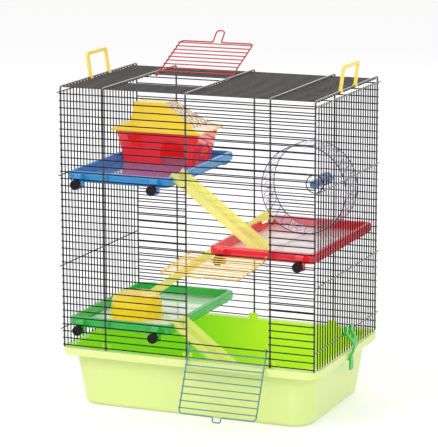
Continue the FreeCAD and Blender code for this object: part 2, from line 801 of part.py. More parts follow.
# Carry handles: bails that swing on the end wires of the roof.
def make_handle(name, side):
    body = new_body(name + "_handle")
    middle = "%d * bar_pitch / 2" % HANDLE_SPAN
    inner, outer = middle + " - handle_width / 2", middle + " + handle_width / 2"
    shape = sketch_on(body, "YZ_Plane")
    polygon(shape, [
        ("-(%s)" % outer, "0"), ("-(%s)" % inner, "0"),
        ("-(%s)" % inner, "handle_reach - handle_width"), (inner, "handle_reach - handle_width"),
        (inner, "0"), (outer, "0"), (outer, "handle_reach"), ("-(%s)" % outer, "handle_reach"),
    ])
    pad(body, shape, "handle_thickness", both_ways=True)
    reach, wide = amount("handle_reach"), amount(outer)

    def top_corner(edge):
        box = edge.BoundBox
        return near(box.YLength + box.ZLength, 0) and near(box.ZMax, reach) and near(abs(box.YMax), wide)
    round_edges(body, "handle_corner", top_corner)
    face = amount("handle_thickness / 2")

    def outline(edge):
        box = edge.BoundBox
        return near(box.XLength, 0) and near(abs(box.XMax), face) and not near(box.ZMax, 0)
    round_edges(body, "handle_round", outline)
    for leg in (1, -1):
        eye = sketch_on(body, "XZ_Plane", "%d * (%s)" % (leg, inner))
        circle(eye, "0", "0", "handle_eye_radius")
        pad(body, eye, "handle_width", backwards=leg < 0)
    hole = sketch_on(body, "XZ_Plane")
    circle(hole, "0", "0", "post_radius + handle_eye_gap")
    pocket(body, hole, "2 * (%s) + 2 * overrun" % outer, both_ways=True)
    lean = FreeCAD.Rotation(V(0, 1, 0), side * amount("handle_lean"))
    place(body, "%d * corner_x" % side, "0", "roof_wire_z", lean)


# Tray clips: levers on the lowest side wire that hook under the tray's lip.
CLIP_NECK = "(clip_lip_x + clip_neck_gap + clip_thickness / 2)"
ARM_OUTER = "(bar_pitch + clip_arm_width / 2)"
ARM_INNER = "(bar_pitch - clip_arm_width / 2)"
# Turn that stands a sketch upright, facing +X.
FACING_SIDE = FreeCAD.Rotation(V(0, 1, 0), V(0, 0, 1), V(1, 0, 0), "XYZ")


def clip_strip():
    """The clip's bent plate at its full width."""
    points = [
        ("clip_stand_off", "clip_top_rise"), ("clip_stand_off", "0"), ("clip_bulge", "-clip_bulge_drop"),
        (CLIP_NECK, "-clip_neck_drop"), (CLIP_NECK, "-clip_tab_drop"),
    ]
    corners = [V(amount(x), 0, amount(z)) for x, z in points]
    path = bend_path(corners, [amount("clip_bend")] * (len(points) - 2))
    across, half = V(amount("clip_thickness / 2"), 0, 0), V(0, amount(ARM_OUTER), 0)
    start = corners[0]
    ring = [start - across - half, start + across - half, start + across + half, start - across + half]
    strip = doc.addObject("Part::Feature", "ClipStrip")
    strip.Shape = Part.Wire(path).makePipeShell([Part.makePolygon(ring + ring[:1])], True, False)
    return strip


def clip_outline():
    """A block with the clip's outline seen from the side of the cage."""
    front = doc.addObject("Sketcher::SketchObject", "ClipFront")
    front.Placement = FreeCAD.Placement(V(0, 0, 0), FACING_SIDE)
    right = [
        ("0", "-clip_fork_drop"), (ARM_INNER, "-clip_fork_drop / 2"), (ARM_INNER, "clip_top_rise"),
        (ARM_OUTER, "clip_top_rise"), (ARM_OUTER, "-clip_fork_drop / 2"),
        ("clip_neck_width / 2", "-clip_waist_drop"), ("clip_neck_width / 2", "-clip_neck_drop"),
        ("clip_tab_width / 2", "-(clip_neck_drop + clip_tab_drop) / 2"),
        ("clip_tab_width / 2", "-clip_tab_drop"),
    ]
    polygon(front, right + [("-(%s)" % y, z) for y, z in reversed(right[1:])])
    block = doc.addObject("Part::Extrusion", "ClipBlock")
    block.Base = front
    block.DirMode = "Normal"
    block.Solid = True
    bind(block, LengthFwd="2 * clip_bulge", LengthRev="overrun")
    return block


def make_clip(name, side):
    lever = doc.addObject("Part::Common", "ClipLever")
    lever.Base, lever.Tool = clip_strip(), clip_outline()
    nib = doc.addObject("Part::Box", "ClipNib")
    bind(nib, Length=CLIP_NECK + " - clip_lip_x + clip_nib_reach", Width="clip_neck_width",
         Height="clip_nib_height")
    place(nib, "clip_lip_x - clip_nib_reach", "-clip_neck_width / 2",
          "-clip_lip_drop - clip_nib_gap - clip_nib_height")
    whole = doc.addObject("Part::MultiFuse", "ClipWhole")
    whole.Shapes = [lever, nib] + [
        rod("clip_eye_outer", "clip_arm_width", "Y", "0", "%d * bar_pitch - clip_arm_width / 2" % arm, "0")
        for arm in (-1, 1)
    ]
    clip = doc.addObject("Part::Cut", "Clip")
    clip.Base = whole
    clip.Tool = rod("clip_eye_radius", "2 * (%s + overrun)" % ARM_OUTER, "Y", "0",
                    "-(%s + overrun)" % ARM_OUTER, "0")
    node(clip, name + "_clip")
    turn = FreeCAD.Rotation(V(0, 0, 1), 0 if side > 0 else 180)
    place(clip, "%d * cross_x" % side, "0", "tray_height + cross_low_rise", turn)


# Shelves: shallow trays with a hollow rim, four ears for the thumbscrews and a ladder notch.
def make_shelf(name, x, z, turned):
    body = new_body(name + "_shelf")
    outer = sketch_on(body, "XY_Plane", "-shelf_lip_height")
    rounded_rectangle(outer, "shelf_width", "shelf_depth", "shelf_corner")
    pad(body, outer, "shelf_lip_height")
    round_edges(body, "shelf_round", lambda edge: level(edge, 0))
    tub = sketch_on(body, "XY_Plane", "-shelf_drop")
    inner_corner = "(shelf_corner - shelf_rim_width + 2 * shelf_wall)"
    rounded_rectangle(tub, "shelf_inner_width + 2 * shelf_wall", "shelf_inner_depth + 2 * shelf_wall",
                      inner_corner + " + shelf_wall")
    pad(body, tub, "shelf_drop - shelf_wall / 2")
    inside = sketch_on(body, "XY_Plane")
    rounded_rectangle(inside, "shelf_inner_width", "shelf_inner_depth", inner_corner)
    pocket(body, inside, "shelf_floor_drop")
    hollow = sketch_on(body, "XY_Plane", "-shelf_lip_height")
    rounded_rectangle(hollow, "shelf_width - 2 * shelf_wall", "shelf_depth - 2 * shelf_wall",
                      "shelf_corner - shelf_wall")
    rounded_rectangle(hollow, "shelf_inner_width + 2 * shelf_wall", "shelf_inner_depth + 2 * shelf_wall",
                      inner_corner + " + shelf_wall")
    pocket(body, hollow, "shelf_lip_height - shelf_wall", backwards=True)
    ears = sketch_on(body, "XY_Plane", "-lug_drop")
    for across in (-1, 1):
        left = "%d * screw_spread / 2 - lug_width / 2" % across
        right = "%d * screw_spread / 2 + lug_width / 2" % across
        root = "(shelf_depth / 2 - shelf_wall * lug_root_share)"
        rectangle(ears, left, right, "-lug_reach", "-" + root)
        rectangle(ears, left, right, root, "lug_reach")
    pad(body, ears, "lug_drop - shelf_wall")
    holes = sketch_on(body, "XZ_Plane")
    for across in (-1, 1):
        circle(holes, "%d * screw_spread / 2" % across, "-screw_drop", "screw_radius + screw_play")
    pocket(body, holes, "2 * (lug_reach + overrun)", both_ways=True)
    notch = sketch_on(body, "XY_Plane", "-notch_depth")
    rectangle(notch, "shelf_inner_width / 2 - shelf_wall", "shelf_width / 2 + overrun",
              "-notch_offset - notch_width / 2", "-notch_offset + notch_width / 2")
    pocket(body, notch, "notch_depth + overrun", backwards=True)
    place(body, x, "0", z, FreeCAD.Rotation(V(0, 0, 1), 180 if turned else 0))


def make_thumbscrew(name, x, side, z):
    body = new_body(name)
    head = sketch_on(body, "XY_Plane")
    circle(head, "0", "0", "knob_radius")
    pad(body, head, "knob_thickness")
    top = amount("knob_thickness")
    round_edges(body, "knob_round", lambda edge: level(edge, top))
    grip = sketch_on(body, "XY_Plane", "knob_thickness + overrun")
    for index in range(KNOB_GROOVES):
        angle = 360 * index / KNOB_GROOVES
        across = "(knob_radius + knob_groove_offset)"
        circle(grip, "%s * cos(%s)" % (across, angle), "%s * sin(%s)" % (across, angle),
               "knob_groove_radius")
    pocket(body, grip, "knob_thickness + 2 * overrun")
    shank = sketch_on(body, "XY_Plane")
    circle(shank, "0", "0", "screw_radius")
    pad(body, shank, "shank_length", backwards=True)
    place(body, x, "%d * knob_face" % side, z, FreeCAD.Rotation(V(1, 0, 0), -90 * side))


SHELVES = {
    "blue": ("-left_shelf_offset", "blue_rim_z", False),
    "red": ("right_shelf_offset", "red_rim_z", True),
    "green": ("-left_shelf_offset", "green_rim_z", False),
}


def make_shelves():
    for name, (x, z, turned) in SHELVES.items():
        make_shelf(name, x, z, turned)
        for side, where in ((-1, "front"), (1, "back")):
            for across, hand in ((-1, "left"), (1, "right")):
                make_thumbscrew("%s_%s_%s_thumbscrew" % (name, where, hand),
                                "%s + %d * screw_spread / 2" % (x, across), side, z + " - screw_drop")


# Ladders: shallow channels with cross ribs, hooked over a shelf's notch.
def make_ladder(name, run, drop, head, seat, yaw):
    """A ladder from the outer edge of a notch (seat) down to the floor below."""
    body = new_body(name + "_ladder")
    slope = math.atan2(amount(drop), amount(run))
    length = "sqrt((%s) ^ 2 + (%s) ^ 2) + %s" % (run, drop, head)
    floor = sketch_on(body, "XY_Plane")
    rectangle(floor, "0", length, "-ladder_width / 2", "ladder_width / 2")
    pad(body, floor, "ladder_floor")
    walls = sketch_on(body, "XY_Plane")
    rectangle(walls, "0", length, "-ladder_width / 2", "ladder_wall - ladder_width / 2")
    rectangle(walls, "0", length, "ladder_width / 2 - ladder_wall", "ladder_width / 2")
    pad(body, walls, "ladder_side")
    ribs = sketch_on(body, "XY_Plane")
    inside = "ladder_width / 2 - ladder_wall / 2"
    for index in range(1, int(amount(length) / amount("rung_pitch"))):
        rectangle(ribs, "%d * rung_pitch" % index, "%d * rung_pitch + rung_thickness" % index,
                  "-(%s)" % inside, inside)
    pad(body, ribs, "ladder_floor + rung_height")
    hook = sketch_on(body, "XY_Plane")
    rectangle(hook, "0", "ladder_wall", "-ladder_width / 2", "ladder_width / 2")
    pad(body, hook, "ladder_hook", backwards=True)
    turn = FreeCAD.Rotation(V(0, 0, 1), yaw).multiply(FreeCAD.Rotation(V(0, 1, 0), math.degrees(slope)))
    lift = amount("ladder_width / 2") * abs(math.sin(math.radians(yaw))) * math.tan(slope)
    foot = V(*[amount(part) for part in seat]) + V(0, 0, lift)
    body.Placement = FreeCAD.Placement(foot - turn.multVec(V(amount(head), 0, 0)), turn)


def make_ladders():
    edge = "shelf_width / 2"
    make_ladder("upper", "upper_ladder_run", "upper_ladder_drop", "ladder_head",
                ("%s - left_shelf_offset" % edge, "-notch_offset", "blue_rim_z - seat_drop"), 0)
    make_ladder("middle", "middle_ladder_run", "middle_ladder_drop", "middle_ladder_head",
                ("right_shelf_offset - %s" % edge, "notch_offset", "red_rim_z - seat_drop"),
                180 + amount("middle_ladder_yaw"))
    make_ladder("lower", "lower_ladder_run", "lower_ladder_drop", "ladder_head",
                ("%s - left_shelf_offset" % edge, "-notch_offset", "green_rim_z - seat_drop"), 0)


# Running wheel: an open drum on an axle that is clamped between the back bars.
TO_FRONT = FreeCAD.Rotation(V(1, 0, 0), 90)


def turned_piece(name, points, y):
    """A round piece about the wheel's axle; heights run from y towards the front."""
    body = new_body(name)
    half = sketch_on(body, "XZ_Plane")
    polygon(half, points)
    revolve(body, half)
    place(body, "wheel_x", y, "wheel_z", TO_FRONT)
    return body


def make_wheel():
    bore = "axle_radius + wheel_play"
    turned_piece("wheel_drum", [
        (bore, "0"), ("wheel_radius", "0"), ("wheel_radius", "wheel_depth"),
        ("wheel_radius - wheel_bead", "wheel_depth"),
        ("wheel_radius - wheel_bead", "wheel_depth - wheel_bead_depth"),
        ("wheel_radius - wheel_wall", "wheel_depth - wheel_bead_depth"),
        ("wheel_radius - wheel_wall", "wheel_wall"), ("wheel_collar_radius", "wheel_wall"),
        ("wheel_collar_radius", "wheel_wall + wheel_collar_depth"),
        ("wheel_hub_radius", "wheel_wall + wheel_collar_depth"),
        ("wheel_hub_radius", "wheel_hub_depth"), (bore, "wheel_hub_depth"),
    ], "wheel_back_y")
    fit = "axle_radius + weld_gap"
    cap = turned_piece("wheel_hub_cap", [
        (fit, "0"), ("cap_radius", "0"), ("cap_radius", "cap_depth"), ("0", "cap_depth"),
        ("0", "cap_depth / 2 + weld_gap"), (fit, "cap_depth / 2 + weld_gap"),
    ], "wheel_back_y - wheel_hub_depth - wheel_end_gap")
    front = amount("cap_depth")
    round_edges(cap, "cap_round", lambda edge: level(edge, front))
    neck = "mount_face_y - wheel_back_y - wheel_end_gap"
    mount = turned_piece("wheel_mount", [
        (fit, "0"), ("mount_radius", "0"), ("mount_radius", "mount_depth"),
        ("mount_neck_radius", "mount_depth"), ("mount_neck_radius", neck), (fit, neck),
    ], "mount_face_y")
    shoulder, wide = amount("mount_depth"), amount("mount_radius")

    def outer_rim(edge):
        return level(edge, shoulder) and near(edge.BoundBox.XMax, wide)
    round_edges(mount, "mount_round", outer_rim)
    turned_piece("wheel_nut", [
        (fit, "0"), ("nut_radius", "0"), ("nut_radius", "nut_depth"), (fit, "nut_depth"),
    ], "nut_face_y + nut_depth")
    node(rod("axle_radius", "nut_face_y + nut_depth - axle_front_y", "Y", "wheel_x", "axle_front_y",
             "wheel_z"), "wheel_axle")


# House on the upper shelf: four leaning walls and a roof that lifts off.
def make_house():
    body = new_body("house_base")
    corner = "house_corner"
    for kind, shrink in (("AdditiveLoft", "0"), ("SubtractiveLoft", "2 * house_wall")):
        low = sketch_on(body, "XY_Plane")
        rounded_rectangle(low, "house_foot_width - " + shrink, "house_foot_depth - " + shrink,
                          "%s - (%s) / 2" % (corner, shrink))
        high = sketch_on(body, "XY_Plane", "house_base_height")
        rounded_rectangle(high, "house_top_width - " + shrink, "house_top_depth - " + shrink,
                          "%s - (%s) / 2" % (corner, shrink))
        loft(body, kind, low, high)
    doorway = sketch_on(body, "XZ_Plane")
    arch(doorway, "house_door_centre", "-overrun", "house_door_height - house_door_width / 2",
         "house_door_width / 2")
    pocket(body, doorway, "house_top_depth / 2 + overrun", backwards=True)
    window = sketch_on(body, "XZ_Plane")
    half_round(window, "-house_window_centre", "house_base_height - house_window_drop",
               "house_window_radius")
    pocket(body, window, "house_top_depth / 2 + overrun", backwards=True)
    side = sketch_on(body, "YZ_Plane")
    arch(side, "0", "-overrun", "house_side_door_height - house_side_door_width / 2",
         "house_side_door_width / 2")
    pocket(body, side, "house_top_width / 2 + overrun", backwards=True)
    place(body, "-house_x", "house_y", "house_foot_z")


def make_house_roof():
    """A flared eave, and a tower on it with a long slope on the right; both are hollow below."""
    body = new_body("house_roof")

    def section(height, left, right, half):
        sketch = sketch_on(body, "XY_Plane", height)
        rectangle(sketch, left, right, "-(%s)" % half, half)
        return sketch

    def within(bounds, wall, right_wall):
        left, right, half = bounds
        return left + " + " + wall, right + " - " + right_wall, half + " - " + wall
    eave = ("-roof_eave_width / 2", "roof_eave_width / 2", "roof_eave_depth / 2")
    flare = ("-roof_flare_left", "roof_flare_right", "roof_flare_depth / 2")
    tower = ("-roof_tower_left", "roof_tower_right", "roof_tower_depth / 2")
    crown = ("-roof_top_left", "roof_top_right", "roof_top_depth / 2")
    pad(body, section("0", *eave), "roof_eave_thickness")
    loft(body, "AdditiveLoft", section("roof_eave_thickness", *eave),
         section("roof_flare_height", *flare))
    loft(body, "AdditiveLoft", section("roof_eave_thickness", *tower), section("roof_height", *crown))
    mouth = within(eave, "roof_eave_rim", "roof_eave_rim")
    throat = within(flare, "roof_wall", "roof_wall")
    loft(body, "SubtractiveLoft", section("0", *mouth),
         section("roof_flare_height - roof_wall", *throat))
    hollow_foot = within(tower, "roof_wall", "roof_slope_wall")
    hollow_top = within(crown, "roof_wall", "roof_slope_wall")
    loft(body, "SubtractiveLoft", section("roof_eave_thickness", *hollow_foot),
         section("roof_height - roof_wall", *hollow_top))
    place(body, "-house_x", "house_y", "roof_seat_z")


def make_bowl():
    body = new_body("food_bowl")
    half = sketch_on(body, "XZ_Plane")
    polygon(half, [
        ("bowl_radius - bowl_wall", "0"), ("bowl_lip_radius", "0"),
        ("bowl_lip_radius", "bowl_lip_height"), ("bowl_radius", "bowl_lip_height"),
        ("bowl_shoulder_radius", "bowl_height"), ("0", "bowl_height"), ("0", "bowl_height - bowl_wall"),
        ("bowl_shoulder_radius - bowl_wall", "bowl_height - bowl_wall"),
    ])
    revolve(body, half)
    top, ceiling = amount("bowl_height"), amount("bowl_height - bowl_wall")
    round_edges(body, "bowl_round", lambda edge: level(edge, top))
    round_edges(body, "bowl_round - bowl_wall", lambda edge: level(edge, ceiling))
    place(body, "-bowl_x", "-bowl_forward", "bowl_z")


def write_parts():
    """Check every object, then write one file for each piece."""
    doc.recompute()
    faults = [item.Label for item in doc.Objects if "Invalid" in item.State or "Error" in item.State]
    for piece in NODES:
        if piece.Shape.isNull() or not piece.Shape.isValid():
            faults.append(piece.Label)
    if faults:
        raise RuntimeError("faulty pieces: " + ", ".join(faults))
    os.makedirs("parts", exist_ok=True)
    for piece in NODES:
        piece.Shape.exportStep("parts/%s.step" % piece.Label)
    print(len(NODES), "pieces written")


def main():
    fill_sheets()
    columns = roof_bar_count()
    make_tray()
    make_frame_wires()
    make_bars(columns)
    make_side_panel("left", -1, columns)
    make_side_panel("right", 1, columns)
    make_doors(columns)
    make_handle("left", -1)
    make_handle("right", 1)
    make_clip("left", -1)
    make_clip("right", 1)
    make_shelves()
    make_ladders()
    make_wheel()
    make_house()
    make_house_roof()
    make_bowl()
    write_parts()


main()
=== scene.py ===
import math

import bmesh
import bpy
from mathutils import Matrix, Vector


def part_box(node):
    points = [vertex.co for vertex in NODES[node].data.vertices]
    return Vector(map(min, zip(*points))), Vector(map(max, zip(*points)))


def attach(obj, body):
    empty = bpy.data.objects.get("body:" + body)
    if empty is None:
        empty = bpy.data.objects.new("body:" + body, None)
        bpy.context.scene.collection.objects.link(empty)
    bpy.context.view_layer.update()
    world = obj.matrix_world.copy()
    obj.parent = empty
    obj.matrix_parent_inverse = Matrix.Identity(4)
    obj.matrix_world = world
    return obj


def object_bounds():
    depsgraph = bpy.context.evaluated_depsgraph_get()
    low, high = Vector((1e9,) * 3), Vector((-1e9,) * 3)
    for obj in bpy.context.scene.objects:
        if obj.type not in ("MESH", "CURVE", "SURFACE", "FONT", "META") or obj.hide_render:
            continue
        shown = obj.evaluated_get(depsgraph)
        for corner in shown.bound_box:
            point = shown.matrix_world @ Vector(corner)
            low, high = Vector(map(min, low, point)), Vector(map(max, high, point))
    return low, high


bl_info = {
    "name": "Pet Cage Dressing",
    "version": (1, 0, 0),
    "blender": (4, 5, 0),
    "location": "View3D > Sidebar > Pet Cage",
    "description": "Finishes and fine detail for a wire pet cage on a plastic tray",
    "category": "Object",
}

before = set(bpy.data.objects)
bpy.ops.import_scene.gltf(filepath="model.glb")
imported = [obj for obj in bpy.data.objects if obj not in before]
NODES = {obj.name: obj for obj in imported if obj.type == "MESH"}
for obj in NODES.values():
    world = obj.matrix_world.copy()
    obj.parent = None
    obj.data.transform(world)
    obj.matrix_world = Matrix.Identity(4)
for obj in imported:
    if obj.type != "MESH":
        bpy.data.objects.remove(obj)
CAD_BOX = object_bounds()
MM = 0.001


# Finishes

PLASTIC_IOR = 1.5
GRAIN_DEPTH = 0.2 * MM
# Light grey laid on the upper side of wires: partly settled dirt, partly a painted highlight.
DIRT_AND_TOP_HIGHLIGHT = (0.42, 0.38, 0.36)
WORN = (0.20, 0.19, 0.18)

# Places of a colour Mix node's sockets, whose names are shared by its other kinds of value.
MIX_SHARE, MIX_FIRST, MIX_SECOND, MIX_RESULT = 0, 6, 7, 2


class Value:
    """A shader socket that can stand in a sum."""

    def __init__(self, finish, socket):
        self.finish = finish
        self.socket = socket

    def _sum(self, operation, *terms):
        inputs = dict(enumerate(terms))
        return self.finish.add("ShaderNodeMath", {"operation": operation}, inputs)[0]

    def __add__(self, other):
        return self._sum("ADD", self, other)

    def __radd__(self, other):
        return self._sum("ADD", other, self)

    def __sub__(self, other):
        return self._sum("SUBTRACT", self, other)

    def __rsub__(self, other):
        return self._sum("SUBTRACT", other, self)

    def __mul__(self, other):
        return self._sum("MULTIPLY", self, other)

    def __rmul__(self, other):
        return self._sum("MULTIPLY", other, self)

    def __lt__(self, other):
        return self._sum("LESS_THAN", self, other)

    def __gt__(self, other):
        return self._sum("GREATER_THAN", self, other)

    def __abs__(self):
        return self._sum("ABSOLUTE", self)

    def larger(self, other):
        """The larger of two values."""
        return self._sum("MAXIMUM", self, other)

    def smooth(self, low, high):
        """Zero below low, one above high and a soft step between."""
        settings = {"interpolation_type": "SMOOTHSTEP"}
        inputs = {"Value": self, "From Min": low, "From Max": high}
        return self.finish.add("ShaderNodeMapRange", settings, inputs)["Result"]


class Made:
    """A node that has been added, read by the names of its outputs."""

    def __init__(self, finish, node):
        self.finish = finish
        self.node = node

    def __getitem__(self, key):
        return Value(self.finish, self.node.outputs[key])


class Finish:
    """One material or world, built node by node."""

    def __init__(self, holder):
        self.holder = holder
        holder.use_nodes = True
        self.tree = holder.node_tree
        self.tree.nodes.clear()

    def add(self, kind, settings=None, inputs=None):
        """Add a node: its settings first, then the values or links of its sockets."""
        node = self.tree.nodes.new(kind)
        for key, setting in (settings or {}).items():
            setattr(node, key, setting)
        for key, value in (inputs or {}).items():
            if isinstance(value, Value):
                self.tree.links.new(value.socket, node.inputs[key])
            else:
                node.inputs[key].default_value = value
        return Made(self, node)

    def place(self):
        """The object's own coordinates, and the same in millimetres as three values."""
        where = self.add("ShaderNodeTexCoord")["Object"]
        axes = self.add("ShaderNodeSeparateXYZ", None, {"Vector": where})
        return where, axes["X"] * 1000, axes["Y"] * 1000, axes["Z"] * 1000

    def facing(self):
        """The three parts of the surface's own direction."""
        normal = self.add("ShaderNodeTexCoord")["Normal"]
        axes = self.add("ShaderNodeSeparateXYZ", None, {"Vector": normal})
        return axes["X"], axes["Y"], axes["Z"]

    def noise(self, where, scale, detail=2.0, rough=0.5):
        """Smooth cloudy variation from zero to one."""
        inputs = {"Vector": where, "Scale": scale, "Detail": detail, "Roughness": rough}
        return self.add("ShaderNodeTexNoise", None, inputs)["Fac"]

    def streaks(self, where, scales, detail=4.0):
        """Variation drawn out along an axis."""
        drawn = self.add("ShaderNodeMapping", None, {"Vector": where, "Scale": scales})["Vector"]
        return self.noise(drawn, 1.0, detail, 0.6)

    def glancing(self):
        """Share of light that a clear plastic surface mirrors, small face on and large at a glance."""
        return self.add("ShaderNodeFresnel", None, {"IOR": PLASTIC_IOR})["Fac"]

    def mix(self, share, first, second):
        """Blend of two colours."""
        settings = {"data_type": "RGBA", "clamp_factor": True}
        inputs = {MIX_SHARE: share, MIX_FIRST: rgba(first), MIX_SECOND: rgba(second)}
        return self.add("ShaderNodeMix", settings, inputs)[MIX_RESULT]

    def drifting(self, share, colour, dark, light):
        """One colour that drifts between a darker and a lighter shade."""
        return self.mix(share, shade(colour, dark), shade(colour, light))

    def bump(self, height, strength, distance):
        """Surface relief from a height value."""
        inputs = {"Height": height, "Strength": strength, "Distance": distance}
        return self.add("ShaderNodeBump", None, inputs)["Normal"]

    def principled(self, **inputs):
        """A surface shader, its sockets given by name."""
        names = [key.replace("_", " ").title().replace("Ior", "IOR") for key in inputs]
        return self.add("ShaderNodeBsdfPrincipled", None, dict(zip(names, inputs.values())))["BSDF"]

    def window(self, colour):
        """A shader that only lets sight through."""
        return self.add("ShaderNodeBsdfTransparent", None, {"Color": rgba(colour)})["BSDF"]

    def blend(self, share, first, second):
        """Blend of two shaders."""
        return self.add("ShaderNodeMixShader", None, {0: share, 1: first, 2: second})[0]

    def surface(self, **inputs):
        """Close the material with one surface shader."""
        return self.close(self.principled(**inputs))

    def close(self, shader):
        """Close the material."""
        self.add("ShaderNodeOutputMaterial", None, {"Surface": shader})
        return self.holder


def new_finish(name):
    """An empty material."""
    return Finish(bpy.data.materials.new(name))


def rgba(colour):
    """A colour with its fourth number, or a linked colour as it is."""
    if isinstance(colour, Value):
        return colour
    return (colour[0], colour[1], colour[2], 1.0)


def shade(colour, factor):
    """A lighter or darker colour of the same hue."""
    return tuple(min(1.0, channel * factor) for channel in colour[:3])


def enamel(name, colour, shine=0.12, dust=0.0):
    """Paint on drawn wire, a little uneven, with small flecks of wear, and on its upper side a light grey
    that is partly settled dirt and partly a painted highlight from the light above.
    """
    finish = new_finish(name)
    where, _, _, _ = finish.place()
    cloud = finish.noise(where, 60.0)
    fleck = finish.noise(where, 420.0, 3.0, 0.6).smooth(0.68, 0.76)
    wear_and_top_light = finish.mix(fleck * 0.2, finish.drifting(cloud, colour, 0.78, 1.22), WORN)
    # Upper faces turn lighter grey: settled dirt and a painted highlight from above.
    if dust:
        _, _, upward = finish.facing()
        wear_and_top_light = finish.mix(upward.smooth(0.2, 0.9) * (0.7 + cloud * 0.6) * dust, wear_and_top_light, DIRT_AND_TOP_HIGHLIGHT)
    grain = finish.noise(where, 900.0)
    return finish.surface(base_color=wear_and_top_light, roughness=0.30 + cloud * 0.14 + fleck * 0.2,
                          metallic=fleck * 0.2, specular_ior_level=shine,
                          coat_weight=shine * (1 - fleck) * 0.5,
                          normal=finish.bump(grain, 0.12, GRAIN_DEPTH))


def moulded(name, colour, gloss=0.25, coat=0.4, body=1.0, glow=0.0, shine=0.5):
    """Moulded plastic: soft colour drift, faint flow streaks and a fine grain.

    body is the share of what lies behind that it hides, and glow a painted glow that stands in for light
    through its wall."""
    finish = new_finish(name)
    where, _, _, _ = finish.place()
    drift = finish.noise(where, 14.0)
    streak = finish.streaks(where, (18.0, 90.0, 40.0))
    tint = finish.drifting(drift * 0.6 + streak * 0.4, colour, 0.90, 1.1)
    grain = finish.noise(where, 700.0, 3.0)
    # A painted glow, no lamp.
    light = {"emission_color": tint, "emission_strength": glow} if glow else {}
    return finish.surface(base_color=tint, roughness=gloss - 0.05 + streak * 0.1,
                          coat_weight=coat - 0.1 + drift * 0.2, coat_roughness=gloss * 0.4,
                          specular_ior_level=shine, alpha=body,
                          normal=finish.bump(grain, 0.04, GRAIN_DEPTH), **light)


def frosted(name, colour, gloss=0.25, through=0.5, clear=0.1, glow=0.0):
    """Milky plastic that takes on the light and colour of what lies behind it."""
    finish = new_finish(name)
    where, _, _, _ = finish.place()
    drift = finish.noise(where, 14.0)
    streak = finish.streaks(where, (18.0, 90.0, 40.0))
    tint = finish.drifting(drift * 0.6 + streak * 0.4, colour, 0.94, 1.04)
    grain = finish.noise(where, 700.0, 3.0)
    # glow is a painted glow, no lamp.
    plastic = finish.principled(base_color=tint, roughness=gloss - 0.05 + streak * 0.1,
                                coat_weight=0.2 + drift * 0.2, coat_roughness=gloss * 0.4,
                                emission_color=tint, emission_strength=glow,
                                normal=finish.bump(grain, 0.04, GRAIN_DEPTH))
    milky = finish.add("ShaderNodeBsdfTranslucent", None, {"Color": rgba(shade(colour, 1.04))})["BSDF"]
    lit = finish.blend(through, plastic, milky)
    return finish.close(finish.blend(clear, lit, finish.window(shade(colour, 1.04))))


def paint(material, *names):
    """Give CAD pieces a finish."""
    for name in names:
        slots = NODES[name].data.materials
        slots.clear()
        slots.append(material)


# Reading places from the frame

WIRE_GAP = 2.0 * MM


def middle(name):
    """Centre of a CAD piece's box."""
    low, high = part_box(name)
    return (low + high) / 2


def wires(node, axis):
    """The points of each wire of a piece, parted where there is a gap along an axis."""
    corners = (vertex.co for vertex in NODES[node].data.vertices)
    points = sorted(corners, key=lambda point: point[axis])
    groups = [[points[0]]]
    for before, point in zip(points, points[1:]):
        if point[axis] - before[axis] > WIRE_GAP:
            groups.append([])
        groups[-1].append(point)
    return groups


def wire_places(node, axis):
    """Where each wire of a piece lies along an axis."""
    return [(group[0][axis] + group[-1][axis]) / 2 for group in wires(node, axis)]


# Making new pieces

def new_piece(name, shape, material, body, smooth=True):
    """Turn a finished bmesh into a piece that rides on a body."""
    bmesh.ops.recalc_face_normals(shape, faces=shape.faces)
    mesh = bpy.data.meshes.new(name)
    shape.to_mesh(mesh)
    shape.free()
    if smooth:
        mesh.shade_smooth()
    mesh.materials.append(material)
    piece = bpy.data.objects.new(name, mesh)
    bpy.context.scene.collection.objects.link(piece)
    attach(piece, body)
    return piece


def spun_ring(shape, centre, reach, thick, steps, sides=8):
    """A round ring about an axis that runs along Y through centre."""
    start = Matrix.Translation(centre + Vector((reach, 0, 0)))
    circle = bmesh.ops.create_circle(shape, cap_ends=False, segments=sides, radius=thick, matrix=start)
    section = circle["verts"]
    edges = list({edge for vert in section for edge in vert.link_edges})
    bmesh.ops.spin(shape, geom=section + edges, cent=centre, axis=(0, 1, 0), dvec=(0, 0, 0),
                   angle=2 * math.pi, steps=steps, use_merge=True)


def bevelled_block(shape, centre, size, edge):
    """A block with rounded edges."""
    grow = Matrix.Translation(centre) @ Matrix.Diagonal((*size, 1.0))
    corners = bmesh.ops.create_cube(shape, size=1.0, matrix=grow)["verts"]
    edges = list({edge for vert in corners for edge in vert.link_edges})
    bmesh.ops.bevel(shape, geom=edges, offset=edge, offset_type="OFFSET", affect="EDGES", segments=2,
                    profile=0.5, material=-1)


def straight_line(shape, start, end, up, wide, tall):
    """A thin raised line between two points of a face."""
    along = end - start
    across = up.cross(along).normalized()
    turn = Matrix((along.normalized(), across, up)).transposed().to_4x4()
    size = Matrix.Diagonal((along.length, wide, tall, 1.0))
    bmesh.ops.create_cube(shape, size=1.0, matrix=Matrix.Translation((start + end) / 2) @ turn @ size)


# Settings that a user may change

def colour_setting(name, description, default):
    """A colour with its default."""
    return bpy.props.FloatVectorProperty(name=name, description=description, default=default, size=3,
                                         min=0.0, max=1.0, subtype="COLOR")


def length_setting(name, description, default):
    """A length with its default."""
    return bpy.props.FloatProperty(name=name, description=description, default=default, min=0.0,
                                   subtype="DISTANCE", unit="LENGTH")


def count_setting(name, description, default):
    """A count with its default."""
    return bpy.props.IntProperty(name=name, description=description, default=default, min=2, max=90)


